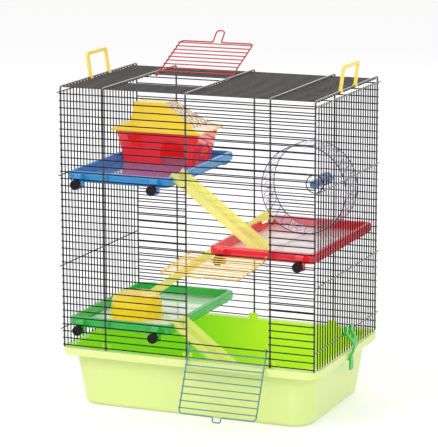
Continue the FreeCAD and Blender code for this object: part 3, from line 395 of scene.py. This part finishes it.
class CageColours(bpy.types.PropertyGroup):
    """Colours of the pieces"""
    wire: colour_setting("Wire", "Enamel of the cage wires", (0.005, 0.005, 0.006))
    tray_outside: colour_setting("Tray outside", "Outer faces and rim of the tray", (0.78, 0.895, 0.32))
    tray_inside: colour_setting("Tray inside", "Inner faces of the tray", (0.50, 0.78, 0.03))
    lower_door: colour_setting("Lower door", "Enamel of the lower door", (0.10, 0.30, 0.32))
    upper_door: colour_setting("Upper door", "Enamel of the upper door", (0.94, 0.58, 0.13))
    roof_door: colour_setting("Roof door", "Enamel of the roof door", (0.55, 0.025, 0.03))
    handle: colour_setting("Handles", "Carry handles", (0.97, 0.70, 0.10))
    clip: colour_setting("Clips", "Tray clips", (0.03, 0.50, 0.05))
    blue: colour_setting("Blue shelf", "Upper left shelf", (0.025, 0.29, 0.66))
    red: colour_setting("Red shelf", "Right shelf", (0.82, 0.018, 0.03))
    green: colour_setting("Green shelf", "Lower left shelf", (0.035, 0.50, 0.07))
    knob: colour_setting("Thumbscrews", "Thumbscrew heads", (0.006, 0.005, 0.005))
    ladder: colour_setting("Ladders", "Ladders", (0.98, 0.94, 0.48))
    wheel: colour_setting("Wheel", "Clear running wheel", (0.86, 0.84, 0.96))
    wheel_line: colour_setting("Wheel lines", "Lattice on the running face", (0.08, 0.03, 0.15))
    wheel_rim: colour_setting("Wheel rims", "Beads round the rims and the hub", (0.03, 0.03, 0.09))
    hub: colour_setting("Hub", "Hub cap, mount and nut", (0.05, 0.22, 0.50))
    axle: colour_setting("Axle", "Steel axle of the wheel", (0.42, 0.42, 0.44))
    house: colour_setting("House", "House walls", (0.78, 0.018, 0.022))
    roof: colour_setting("House roof", "House roof", (0.98, 0.66, 0.008))
    roof_slope: colour_setting("Roof slope", "Long pale slope of the house roof", (0.93, 0.74, 0.52))
    bowl: colour_setting("Bowl", "Food bowl", (0.97, 0.66, 0.015))


class CageDetails(bpy.types.PropertyGroup):
    """Sizes and counts of the fine detail"""
    bead: length_setting("Weld bead", "Radius of a weld bead", 1.0 * MM)
    rib: length_setting("Wheel rib", "Width of a rib on the wheel", 1.0 * MM)
    rim: length_setting("Wheel rim", "Radius of the bead round the wheel's rims", 0.85 * MM)
    lattice: length_setting("Roof lattice", "Width of a line on the house roof", 0.8 * MM)
    wheel_ribs: count_setting("Wheel ribs", "Ribs each way round the wheel", 32)
    wheel_rows: count_setting("Wheel rows", "Rows of diamonds across the running face", 2)
    roof_lines: count_setting("Roof lines", "Lines each way over the roof's slope", 5)


def colours():
    """The colours that are set."""
    return bpy.context.scene.cage_colours


def details():
    """The sizes and counts that are set."""
    return bpy.context.scene.cage_details


# Wires and doors

BEAD_SPREAD = (1.15, 1.0, 0.9)

# Each door hangs open at its own slope, so its bars are told apart along this axis.
DOOR_AXES = {"lower": 2, "upper": 1, "roof": 2}


def weld_beads(name, places, material, body="cage"):
    """A small flattened bead of weld at each crossing of two wires."""
    shape = bmesh.new()
    for place in places:
        flat = Matrix.Translation(place) @ Matrix.Diagonal((*BEAD_SPREAD, 1.0))
        bmesh.ops.create_icosphere(shape, subdivisions=1, radius=details().bead, matrix=flat)
    return new_piece(name, shape, material, body)


class PETCAGE_OT_wires(bpy.types.Operator):
    """Black enamel on the cage wires, with a bead of weld at each crossing"""
    bl_idname = "petcage.wires"
    bl_label = "Wires"

    def execute(self, context):
        black = enamel("black_enamel", colours().wire)
        # Roof bars, frame wires and cross wires get a lighter upper side: partly settled dirt, partly
        # painted highlight.
        top_lit_dirty = enamel("dusty_enamel", colours().wire, shine=0.3, dust=0.35)
        shiny_top_lit = enamel("bright_enamel", colours().wire, shine=0.9, dust=0.6)
        paint(black, "front_bars", "back_bars", "left_panel_bars", "right_panel_bars")
        paint(top_lit_dirty, "roof_bars")
        paint(shiny_top_lit, "frame_wires", "left_panel_cross_wires", "right_panel_cross_wires")
        posts = wire_places("frame_wires", 0)
        frame_low, frame_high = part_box("frame_wires")
        for node, name, depth in (("front_bars", "front_welds", frame_low.y),
                                  ("back_bars", "back_welds", frame_high.y)):
            rows = wire_places(node, 2)
            weld_beads(name, [Vector((x, depth, z)) for x in posts for z in rows], black)
        rows = wire_places("roof_bars", 1)
        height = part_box("roof_bars")[1].z
        weld_beads("roof_welds", [Vector((x, y, height)) for x in posts for y in rows], top_lit_dirty)
        for side in ("left", "right"):
            bars, crosses = side + "_panel_bars", side + "_panel_cross_wires"
            face = (middle(bars).x + middle(crosses).x) / 2
            places = [Vector((face, y, z)) for y in wire_places(bars, 1) for z in wire_places(crosses, 2)]
            weld_beads(side + "_welds", places, black)
        return {"FINISHED"}


class PETCAGE_OT_doors(bpy.types.Operator):
    """Coloured enamel on the three wire doors, with a bead of weld at each end of a bar"""
    bl_idname = "petcage.doors"
    bl_label = "Doors"

    def execute(self, context):
        for name, axis in DOOR_AXES.items():
            finish = enamel(name + "_door_enamel", getattr(colours(), name + "_door"), shine=0.3)
            paint(finish, name + "_door_frame", name + "_door_bars")
            ends = []
            for points in wires(name + "_door_bars", axis):
                centre = sum(points, Vector()) / len(points)
                left = min(point.x for point in points) + details().bead
                right = max(point.x for point in points) - details().bead
                ends += [Vector((x, centre.y, centre.z)) for x in (left, right)]
            weld_beads(name + "_door_welds", ends, finish, name + "_door")
        return {"FINISHED"}


# Tray, handles and clips

# Painted colour of the light that the green shelf lets down into the tray, and where this painted shade
# begins and is full.
PAINTED_SHELF_LIGHT = (0.12, 0.58, 0.008)
UNDER_FROM, UNDER_FULL = 20.0, -140.0

# A face looks into the tray where its place times its direction lies below these, in millimetres.
INWARD_FROM, INWARD_FULL = -4.0, -12.0
INWARD_DEPTH_WEIGHT = 1.4
UPWARD_TURN = 0.4
FLANGE_MARGIN = 0.5


def tray_plastic(name, outside, inside):
    """Pale outside and rim, deeper colour inside the wires: one plastic whose pale tone is a painted
    highlight and whose deep tone is painted light through the thin wall, all with a painted glow.
    """
    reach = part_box("frame_wires")[1] / MM
    reach_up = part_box("frame_wires")[0].z / MM + FLANGE_MARGIN
    finish = new_finish(name)
    where, x, y, z = finish.place()
    to_right, to_back, upward = finish.facing()
    inward = (x * to_right + y * to_back * INWARD_DEPTH_WEIGHT).smooth(INWARD_FROM, INWARD_FULL)
    caged = (abs(x) < reach.x) * (abs(y) < reach.y)
    inner = inward.larger(caged * (upward > UPWARD_TURN)).larger(z > reach_up)
    drift = finish.noise(where, 6.0)
    grain = finish.noise(where, 600.0, 3.0)
    scuff = finish.streaks(where, (25.0, 25.0, 160.0), 5.0).smooth(0.58, 0.75)
    pale = finish.drifting(drift, outside, 0.95, 1.04)
    # Painted shade: the left of the inside turns greener, as light filtered by the green shelf would make
    # it.
    shaded = x.smooth(UNDER_FROM, UNDER_FULL) * 0.6
    deep = finish.mix(shaded, finish.drifting(drift, inside, 0.88, 1.1), PAINTED_SHELF_LIGHT)
    # The pale tone is a painted highlight and the deep tone painted light through the wall.
    colour = finish.mix(inner, pale, deep)
    # Painted glow: faint outside, and in the deep colour inside.
    light = finish.mix(inner, shade(outside, 0.2), deep)
    return finish.surface(base_color=colour, roughness=0.30 + scuff * 0.14,
                          coat_weight=0.2 - scuff * 0.1, emission_color=light, emission_strength=0.3,
                          normal=finish.bump(grain, 0.05, GRAIN_DEPTH))


class PETCAGE_OT_tray(bpy.types.Operator):
    """Moulded plastic on the base tray, its two tones a painted highlight outside and painted light inside
    """
    bl_idname = "petcage.tray"
    bl_label = "Base tray"

    def execute(self, context):
        plastic = tray_plastic("tray_plastic", colours().tray_outside, colours().tray_inside)
        paint(plastic, "base_tray")
        return {"FINISHED"}


class PETCAGE_OT_handles(bpy.types.Operator):
    """Yellow plastic on the carry handles"""
    bl_idname = "petcage.handles"
    bl_label = "Carry handles"

    def execute(self, context):
        # A faint painted glow.
        plastic = moulded("handle_plastic", colours().handle, gloss=0.28, glow=0.08)
        paint(plastic, "left_handle", "right_handle")
        return {"FINISHED"}


class PETCAGE_OT_clips(bpy.types.Operator):
    """Green plastic on the tray clips"""
    bl_idname = "petcage.clips"
    bl_label = "Tray clips"

    def execute(self, context):
        # A faint painted glow.
        plastic = moulded("clip_plastic", colours().clip, glow=0.08)
        paint(plastic, "left_clip", "right_clip")
        return {"FINISHED"}


# Shelves, thumbscrews and ladders

# Bounds of a shelf's finishes, in millimetres.
SHELF_RIM = 8.5
SHELF_FLOOR_DROP = 13.0
SHELF_SKIRT = 12.0
SKIRT_BLUR = 2.0

SCREW_STAND_OFF = 1.0 * MM
SHELF_RIB_SHARE = 0.4
SHELF_RIB_DROP = 7.4 * MM
SHELF_RIB_SIZE = (1.6 * MM, 0.9 * MM, 8.4 * MM)
SHELF_RIB_EDGE = 0.3 * MM
SHELF_RIB_SHADE = 0.7

# How much sight each shelf's floor lets through, and the tint that it gives.
FLOOR_CLEAR = {"blue": 0.55, "red": 0.7, "green": 0.55}
FLOOR_TINTS = {"blue": (0.14, 0.34, 0.65), "red": (1.0, 0.90, 0.93), "green": (0.92, 1.0, 0.95)}

KNOB_RING_SHARE = 0.6
KNOB_RING_THICK = 0.55 * MM
KNOB_RING_STEPS = 32


def shelf_plastic(name, colour, node, clear, light):
    """Coloured rim that lets a little light through, and a clear floor that mirrors at a glance."""
    low, high = (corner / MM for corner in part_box(node))
    screw_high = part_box(node.replace("_shelf", "_front_left_thumbscrew"))[1]
    finish = new_finish(name)
    where, x, y, z = finish.place()
    across = abs(x - (low.x + high.x) / 2) < (high.x - low.x) / 2 - SHELF_RIM
    along = abs(y) < -(screw_high.y + SCREW_STAND_OFF) / MM - SHELF_RIM
    floor = across * along * (z < high.z - SHELF_FLOOR_DROP)
    drift = finish.noise(where, 12.0)
    streak = finish.noise(where, 55.0, 3.0, 0.6)
    rim = finish.drifting(drift * 0.5 + streak * 0.5, colour, 0.86, 1.2)
    tint = finish.mix(floor, rim, light)
    skirt_top = low.z + SHELF_SKIRT
    skirt = (1 - floor) * z.smooth(skirt_top + SKIRT_BLUR, skirt_top - SKIRT_BLUR)
    grain = finish.noise(where, 700.0, 3.0)
    # The plastic carries a faint painted glow in its own colour.
    plastic = finish.principled(base_color=tint, roughness=0.22 - floor * 0.16 + streak * 0.06,
                                coat_weight=0.25 + floor * 0.75, coat_roughness=0.04,
                                emission_color=tint, emission_strength=0.12,
                                normal=finish.bump(grain, 0.03, GRAIN_DEPTH))
    window = finish.window(light)
    edge = finish.window(tuple((1 + channel) / 2 for channel in colour))
    sight = finish.blend(skirt, window, edge)
    share = floor * clear * (1 - finish.glancing() * 1.5) + (1 - floor) * 0.06 + skirt * 0.4
    return finish.close(finish.blend(share, plastic, sight))


class PETCAGE_OT_shelves(bpy.types.Operator):
    """Translucent plastic on the three shelves, and the rib moulded on each long rim"""
    bl_idname = "petcage.shelves"
    bl_label = "Shelves"

    def execute(self, context):
        for name in ("blue", "red", "green"):
            node = name + "_shelf"
            finish = shelf_plastic(name + "_shelf_plastic", getattr(colours(), name), node,
                                   FLOOR_CLEAR[name], FLOOR_TINTS[name])
            paint(finish, node)
            low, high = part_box(node)
            outer, inner = (low.x, high.x) if middle(node).x < 0 else (high.x, low.x)
            x = outer + (inner - outer) * SHELF_RIB_SHARE
            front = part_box(name + "_front_left_thumbscrew")[1].y + SCREW_STAND_OFF
            darker = shade(getattr(colours(), name), SHELF_RIB_SHADE)
            ribs = moulded(name + "_rib_plastic", darker, gloss=0.2)
            shape = bmesh.new()
            for side in (-1, 1):
                place = Vector((x, -side * front, high.z - SHELF_RIB_DROP))
                bevelled_block(shape, place, SHELF_RIB_SIZE, SHELF_RIB_EDGE)
            new_piece(name + "_shelf_ribs", shape, ribs, "cage")
        return {"FINISHED"}


class PETCAGE_OT_thumbscrews(bpy.types.Operator):
    """Black plastic on the thumbscrews, with a ring moulded on each face"""
    bl_idname = "petcage.thumbscrews"
    bl_label = "Thumbscrews"

    def execute(self, context):
        black = moulded("knob_plastic", colours().knob, gloss=0.3, coat=0.1, shine=0.15)
        for name in [node for node in NODES if node.endswith("_thumbscrew")]:
            paint(black, name)
            low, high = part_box(name)
            radius = (high.z - low.z) / 2
            face = low.y if middle(name).y < 0 else high.y
            place = Vector((middle(name).x, face, middle(name).z))
            shape = bmesh.new()
            spun_ring(shape, place, radius * KNOB_RING_SHARE, KNOB_RING_THICK, KNOB_RING_STEPS)
            new_piece(name + "_ring", shape, black, name)
        return {"FINISHED"}


class PETCAGE_OT_ladders(bpy.types.Operator):
    """Translucent plastic on the ladders"""
    bl_idname = "petcage.ladders"
    bl_label = "Ladders"

    def execute(self, context):
        # A painted glow lightens the ladders.
        milky = frosted("ladder_plastic", colours().ladder, gloss=0.22, through=0.4, clear=0.38, glow=0.1)
        paint(milky, "upper_ladder", "middle_ladder", "lower_ladder")
        return {"FINISHED"}


# Running wheel

DRUM_WALL = 2.0 * MM
DRUM_BEAD = 3.0 * MM
COLLAR_REACH = 14.0 * MM
COLLAR_RISE = 4.0 * MM
RIB_RISE_SHARE = 0.3
RIB_STEPS = 6
RIM_STEPS = 120
COLLAR_STEPS = 48


def clear_plastic(name, colour):
    """Clear plastic, faint face on and firmer at its edges."""
    finish = new_finish(name)
    where, _, _, _ = finish.place()
    drift = finish.noise(where, 20.0)
    haze = finish.noise(where, 130.0, 4.0, 0.6)
    tint = finish.drifting(drift, colour, 0.94, 1.04)
    edge = finish.add("ShaderNodeLayerWeight", None, {"Blend": 0.5})["Facing"]
    # A painted glow in the plastic's colour lightens the clear wheel.
    return finish.surface(base_color=tint, roughness=0.08 + haze * 0.08, coat_weight=0.5 + drift * 0.2,
                          coat_roughness=0.04, emission_color=tint, emission_strength=0.3,
                          alpha=0.06 + edge * edge * 0.28 + haze * 0.03)


def rib_sweep(shape, centre, reach, angle, turn, rise):
    """Carry a small flat section round the wheel's axle while it moves along it."""
    out = Vector((math.sin(angle), 0, math.cos(angle)))
    across = Vector((math.cos(angle), 0, -math.sin(angle)))
    wide, tall = details().rib / 2, details().rib * RIB_RISE_SHARE / 2
    corners = [centre + out * (reach + tall * up) + across * wide * side
               for side, up in ((-1, -1), (1, -1), (1, 1), (-1, 1))]
    face = shape.faces.new([shape.verts.new(corner) for corner in corners])
    bmesh.ops.spin(shape, geom=[face, *face.edges, *face.verts], cent=centre, axis=(0, 1, 0),
                   dvec=(0, rise / RIB_STEPS, 0), angle=turn, steps=RIB_STEPS, use_merge=False)


def wheel_lattice(centre, reach, front, back):
    """Ribs that wind both ways along the running face."""
    start = Vector((centre.x, front, centre.z))
    count = details().wheel_ribs
    turn = details().wheel_rows * math.pi / count
    shape = bmesh.new()
    for hand in (-1, 1):
        for index in range(count):
            rib_sweep(shape, start, reach, 2 * math.pi * index / count, hand * turn, back - front)
    return shape


def axle_rings(centre, places, reach, steps):
    """Rings of one size round the axle, one at each place along it."""
    shape = bmesh.new()
    for y in places:
        spun_ring(shape, Vector((centre.x, y, centre.z)), reach, details().rim, steps)
    return shape


class PETCAGE_OT_wheel(bpy.types.Operator):
    """Clear wheel with a lattice on its running face, dark rims and a ring round its hub"""
    bl_idname = "petcage.wheel"
    bl_label = "Running wheel"

    def execute(self, context):
        # The lattice ribs and rim beads are real shapes; their dark colour is painted shade for the dark
        # lines that clear ribs and rims show.
        dark_lined = moulded("wheel_tinted", colours().wheel_line, gloss=0.2, body=0.9)
        dark = moulded("wheel_dark", colours().wheel_rim, gloss=0.3, coat=0.1, shine=0.2)
        blue = moulded("hub_plastic", colours().hub, gloss=0.24)
        paint(clear_plastic("wheel_clear", colours().wheel), "wheel_drum")
        paint(blue, "wheel_hub_cap", "wheel_mount", "wheel_nut")
        paint(enamel("axle_steel", colours().axle, shine=0.6), "wheel_axle")
        low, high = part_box("wheel_drum")
        centre = (low + high) / 2
        radius = (high.x - low.x) / 2
        inner = radius - DRUM_WALL - details().rib * RIB_RISE_SHARE / 2
        shape = wheel_lattice(centre, inner, low.y + DRUM_BEAD, high.y - DRUM_WALL)
        new_piece("wheel_lattice", shape, dark_lined, "wheel", smooth=False)
        thick = details().rim
        shape = axle_rings(centre, (low.y + thick, high.y - thick), radius - thick, RIM_STEPS)
        new_piece("wheel_rims", shape, dark, "wheel")
        shape = axle_rings(centre, (high.y - COLLAR_RISE,), COLLAR_REACH, COLLAR_STEPS)
        new_piece("wheel_collar_ring", shape, dark, "wheel")
        return {"FINISHED"}


# House and bowl

SLOPE_TURN = 0.35
LATTICE_SHADE = 0.3


def slope_corners():
    """Corners of the roof's long slope: low front, low back, high back and high front."""
    mesh = NODES["house_roof"].data
    faces = [face for face in mesh.polygons if min(face.normal.x, face.normal.z) > SLOPE_TURN]
    points = [mesh.vertices[index].co for face in faces for index in face.vertices]
    bottom = min(point.z for point in points)
    top = max(point.z for point in points)
    low_edge = sorted((point for point in points if point.z < bottom + MM), key=lambda point: point.y)
    high_edge = sorted((point for point in points if point.z > top - MM), key=lambda point: point.y)
    return low_edge[0], low_edge[-1], high_edge[-1], high_edge[0]


def slope_point(corners, across, along):
    """Point of the slope at its shares from front to back and from foot to top."""
    low_front, low_back, high_back, high_front = corners
    return low_front.lerp(low_back, across).lerp(high_front.lerp(high_back, across), along)


def slope_lattice(count, thick):
    """Raised lines that cross each other over the slope."""
    corners = slope_corners()
    low_front, low_back, _, high_front = corners
    up = (low_back - low_front).cross(high_front - low_front).normalized()
    shape = bmesh.new()
    for index in range(-count + 1, count):
        begin, end = index / count, index / count + 1
        first, last = max(begin, 0), min(end, 1)
        for turned in (False, True):
            near, far = (1 - first, 1 - last) if turned else (first, last)
            foot = slope_point(corners, near, first - begin)
            head = slope_point(corners, far, last - begin)
            straight_line(shape, foot, head, up, thick, thick)
    return shape


def roof_plastic(name, colour, slope_colour, node):
    """Yellow roof with a painted glow for light through its edges, whose long slope is pale and lets some
    sight through.
    """
    centre = middle(node) / MM
    finish = new_finish(name)
    where, x, _, _ = finish.place()
    to_right, _, upward = finish.facing()
    slope = (to_right > 0.3) * (upward > 0.3) * (x > centre.x)
    drift = finish.noise(where, 16.0)
    body = finish.drifting(drift, colour, 0.9, 1.06)
    tint = finish.mix(slope * 0.9, body, slope_colour)
    grain = finish.noise(where, 700.0, 3.0)
    # Painted glow, no lamp.
    return finish.surface(base_color=tint, roughness=0.18 + drift * 0.1, coat_weight=0.6,
                          coat_roughness=0.06, emission_color=tint, emission_strength=0.14,
                          alpha=0.98 - slope * 0.2, normal=finish.bump(grain, 0.04, GRAIN_DEPTH))


class PETCAGE_OT_house(bpy.types.Operator):
    """Red walls, yellow roof and the lattice on the roof's long slope"""
    bl_idname = "petcage.house"
    bl_label = "House"

    def execute(self, context):
        # The walls carry a strong painted glow that lightens their red.
        walls = moulded("house_plastic", colours().house, gloss=0.14, coat=0.9, body=0.93, glow=0.38)
        paint(walls, "house_base")
        roof = roof_plastic("roof_plastic", colours().roof, colours().roof_slope, "house_roof")
        paint(roof, "house_roof")
        shape = slope_lattice(details().roof_lines, details().lattice)
        lines = moulded("lattice_lines", shade(colours().roof, LATTICE_SHADE), gloss=0.3)
        new_piece("house_roof_lattice", shape, lines, "house_roof", smooth=False)
        return {"FINISHED"}


class PETCAGE_OT_bowl(bpy.types.Operator):
    """Glossy plastic on the food bowl"""
    bl_idname = "petcage.bowl"
    bl_label = "Food bowl"

    def execute(self, context):
        # A painted glow lightens the bowl.
        plastic = moulded("bowl_plastic", colours().bowl, gloss=0.28, coat=0.2, glow=0.2, shine=0.35)
        paint(plastic, "food_bowl")
        return {"FINISHED"}


# Stage

PICTURE_WIDE, PICTURE_HIGH = 438, 447
CAMERA_PLACE = Vector((1.3475, -3.2274, 1.0019))
CAMERA_AIM = Vector((-0.0039, 0.0, 0.2728))
CAMERA_ROLL = math.radians(-0.17)
FOCAL_PIXELS = 2328
SENSOR_WIDE = 36.0
FAR_LIMIT = 200.0
WHITE = (1.0, 1.0, 1.0, 1.0)
FLOOR_GREY = (0.76, 0.76, 0.76, 1.0)
FLOOR_GLOW = 0.36
FLOOR_REACH = 40.0
FLOOR_DROP = 0.5 * MM
WORLD_LIGHT = 0.76

# Each lamp's place, the point that it is turned to, its size and its power.
LAMPS = {
    "key_lamp": ((-1.6, -2.4, 2.6), (0, 0, 0.25), 1.6, 40.0),
    "fill_lamp": ((2.4, -2.4, 1.3), (0, 0, 0.25), 2.0, 24.0),
    "back_lamp": ((-0.6, 2.4, 2.2), (0, 0, 0.3), 1.6, 16.0),
}


def area_lamp(name, place, aim, size, power):
    """A soft square lamp turned to a point."""
    lamp = bpy.data.lights.new(name, "AREA")
    lamp.shape = "SQUARE"
    lamp.size = size
    lamp.energy = power
    holder = bpy.data.objects.new(name, lamp)
    holder.location = place
    holder.rotation_mode = "QUATERNION"
    holder.rotation_quaternion = (Vector(aim) - Vector(place)).to_track_quat("-Z", "Y")
    bpy.context.scene.collection.objects.link(holder)


def seen_directly(finish):
    """One for rays from the camera, mirrors and glass."""
    path = finish.add("ShaderNodeLightPath")
    whole = path["Is Camera Ray"] + path["Is Glossy Ray"] + path["Is Transmission Ray"]
    return finish.add("ShaderNodeClamp", None, {"Value": whole})[0]


def pale_floor():
    """A wide floor that looks white and keeps the shadow."""
    shape = bmesh.new()
    level = Matrix.Translation((0, 0, CAD_BOX[0].z - FLOOR_DROP))
    bmesh.ops.create_grid(shape, x_segments=1, y_segments=1, size=FLOOR_REACH, matrix=level)
    mesh = bpy.data.meshes.new("floor")
    shape.to_mesh(mesh)
    shape.free()
    finish = new_finish("pale_floor")
    matt = finish.add("ShaderNodeBsdfDiffuse", None, {"Color": FLOOR_GREY})["BSDF"]
    strength = seen_directly(finish) * FLOOR_GLOW
    glow = finish.add("ShaderNodeEmission", None, {"Color": WHITE, "Strength": strength})["Emission"]
    both = finish.add("ShaderNodeAddShader", None, {0: matt, 1: glow})
    mesh.materials.append(finish.close(both[0]))
    floor = bpy.data.objects.new("floor", mesh)
    bpy.context.scene.collection.objects.link(floor)


def white_world():
    """Surroundings that light the object at a plain level and look white."""
    finish = Finish(bpy.data.worlds.new("studio"))
    strength = WORLD_LIGHT + seen_directly(finish) * (1 - WORLD_LIGHT)
    sky = finish.add("ShaderNodeBackground", None, {"Color": WHITE, "Strength": strength})
    finish.add("ShaderNodeOutputWorld", None, {"Surface": sky[0]})
    bpy.context.scene.world = finish.holder


def photo_camera():
    """The camera at the photograph's viewing angle."""
    camera = bpy.data.cameras.new("camera")
    camera.sensor_width = SENSOR_WIDE
    camera.lens = FOCAL_PIXELS * SENSOR_WIDE / max(PICTURE_WIDE, PICTURE_HIGH)
    camera.clip_end = FAR_LIMIT
    holder = bpy.data.objects.new("camera", camera)
    holder.location = CAMERA_PLACE
    holder.rotation_mode = "QUATERNION"
    aim = (CAMERA_AIM - CAMERA_PLACE).to_track_quat("-Z", "Y")
    holder.rotation_quaternion = aim @ Matrix.Rotation(CAMERA_ROLL, 3, "Z").to_quaternion()
    bpy.context.scene.collection.objects.link(holder)
    bpy.context.scene.camera = holder


class PETCAGE_OT_stage(bpy.types.Operator):
    """Pale floor, soft lamps, white surroundings and the camera"""
    bl_idname = "petcage.stage"
    bl_label = "Stage"

    def execute(self, context):
        pale_floor()
        white_world()
        for name, lamp in LAMPS.items():
            area_lamp(name, *lamp)
        photo_camera()
        bpy.context.scene.view_settings.view_transform = "Standard"
        return {"FINISHED"}


BUILD_STEPS = ("wires", "doors", "tray", "handles", "clips", "shelves", "thumbscrews", "ladders", "wheel",
               "house", "bowl", "stage")


class PETCAGE_PT_build(bpy.types.Panel):
    """Lists the pieces of the cage"""
    bl_idname = "PETCAGE_PT_build"
    bl_label = "Pet Cage"
    bl_space_type = "VIEW_3D"
    bl_region_type = "UI"
    bl_category = "Pet Cage"

    def draw(self, context):
        for step in BUILD_STEPS:
            self.layout.operator("petcage." + step)
        for group in (context.scene.cage_colours, context.scene.cage_details):
            for name in group.__annotations__:
                self.layout.prop(group, name)


CLASSES = (
    CageColours, CageDetails, PETCAGE_OT_wires, PETCAGE_OT_doors, PETCAGE_OT_tray, PETCAGE_OT_handles,
    PETCAGE_OT_clips, PETCAGE_OT_shelves, PETCAGE_OT_thumbscrews, PETCAGE_OT_ladders, PETCAGE_OT_wheel,
    PETCAGE_OT_house, PETCAGE_OT_bowl, PETCAGE_OT_stage, PETCAGE_PT_build,
)


def register():
    for item in CLASSES:
        bpy.utils.register_class(item)
    bpy.types.Scene.cage_colours = bpy.props.PointerProperty(type=CageColours)
    bpy.types.Scene.cage_details = bpy.props.PointerProperty(type=CageDetails)


def unregister():
    del bpy.types.Scene.cage_colours
    del bpy.types.Scene.cage_details
    for item in reversed(CLASSES):
        bpy.utils.unregister_class(item)


def main():
    register()
    for step in BUILD_STEPS:
        getattr(bpy.ops.petcage, step)()


if __name__ == "__main__":
    main()
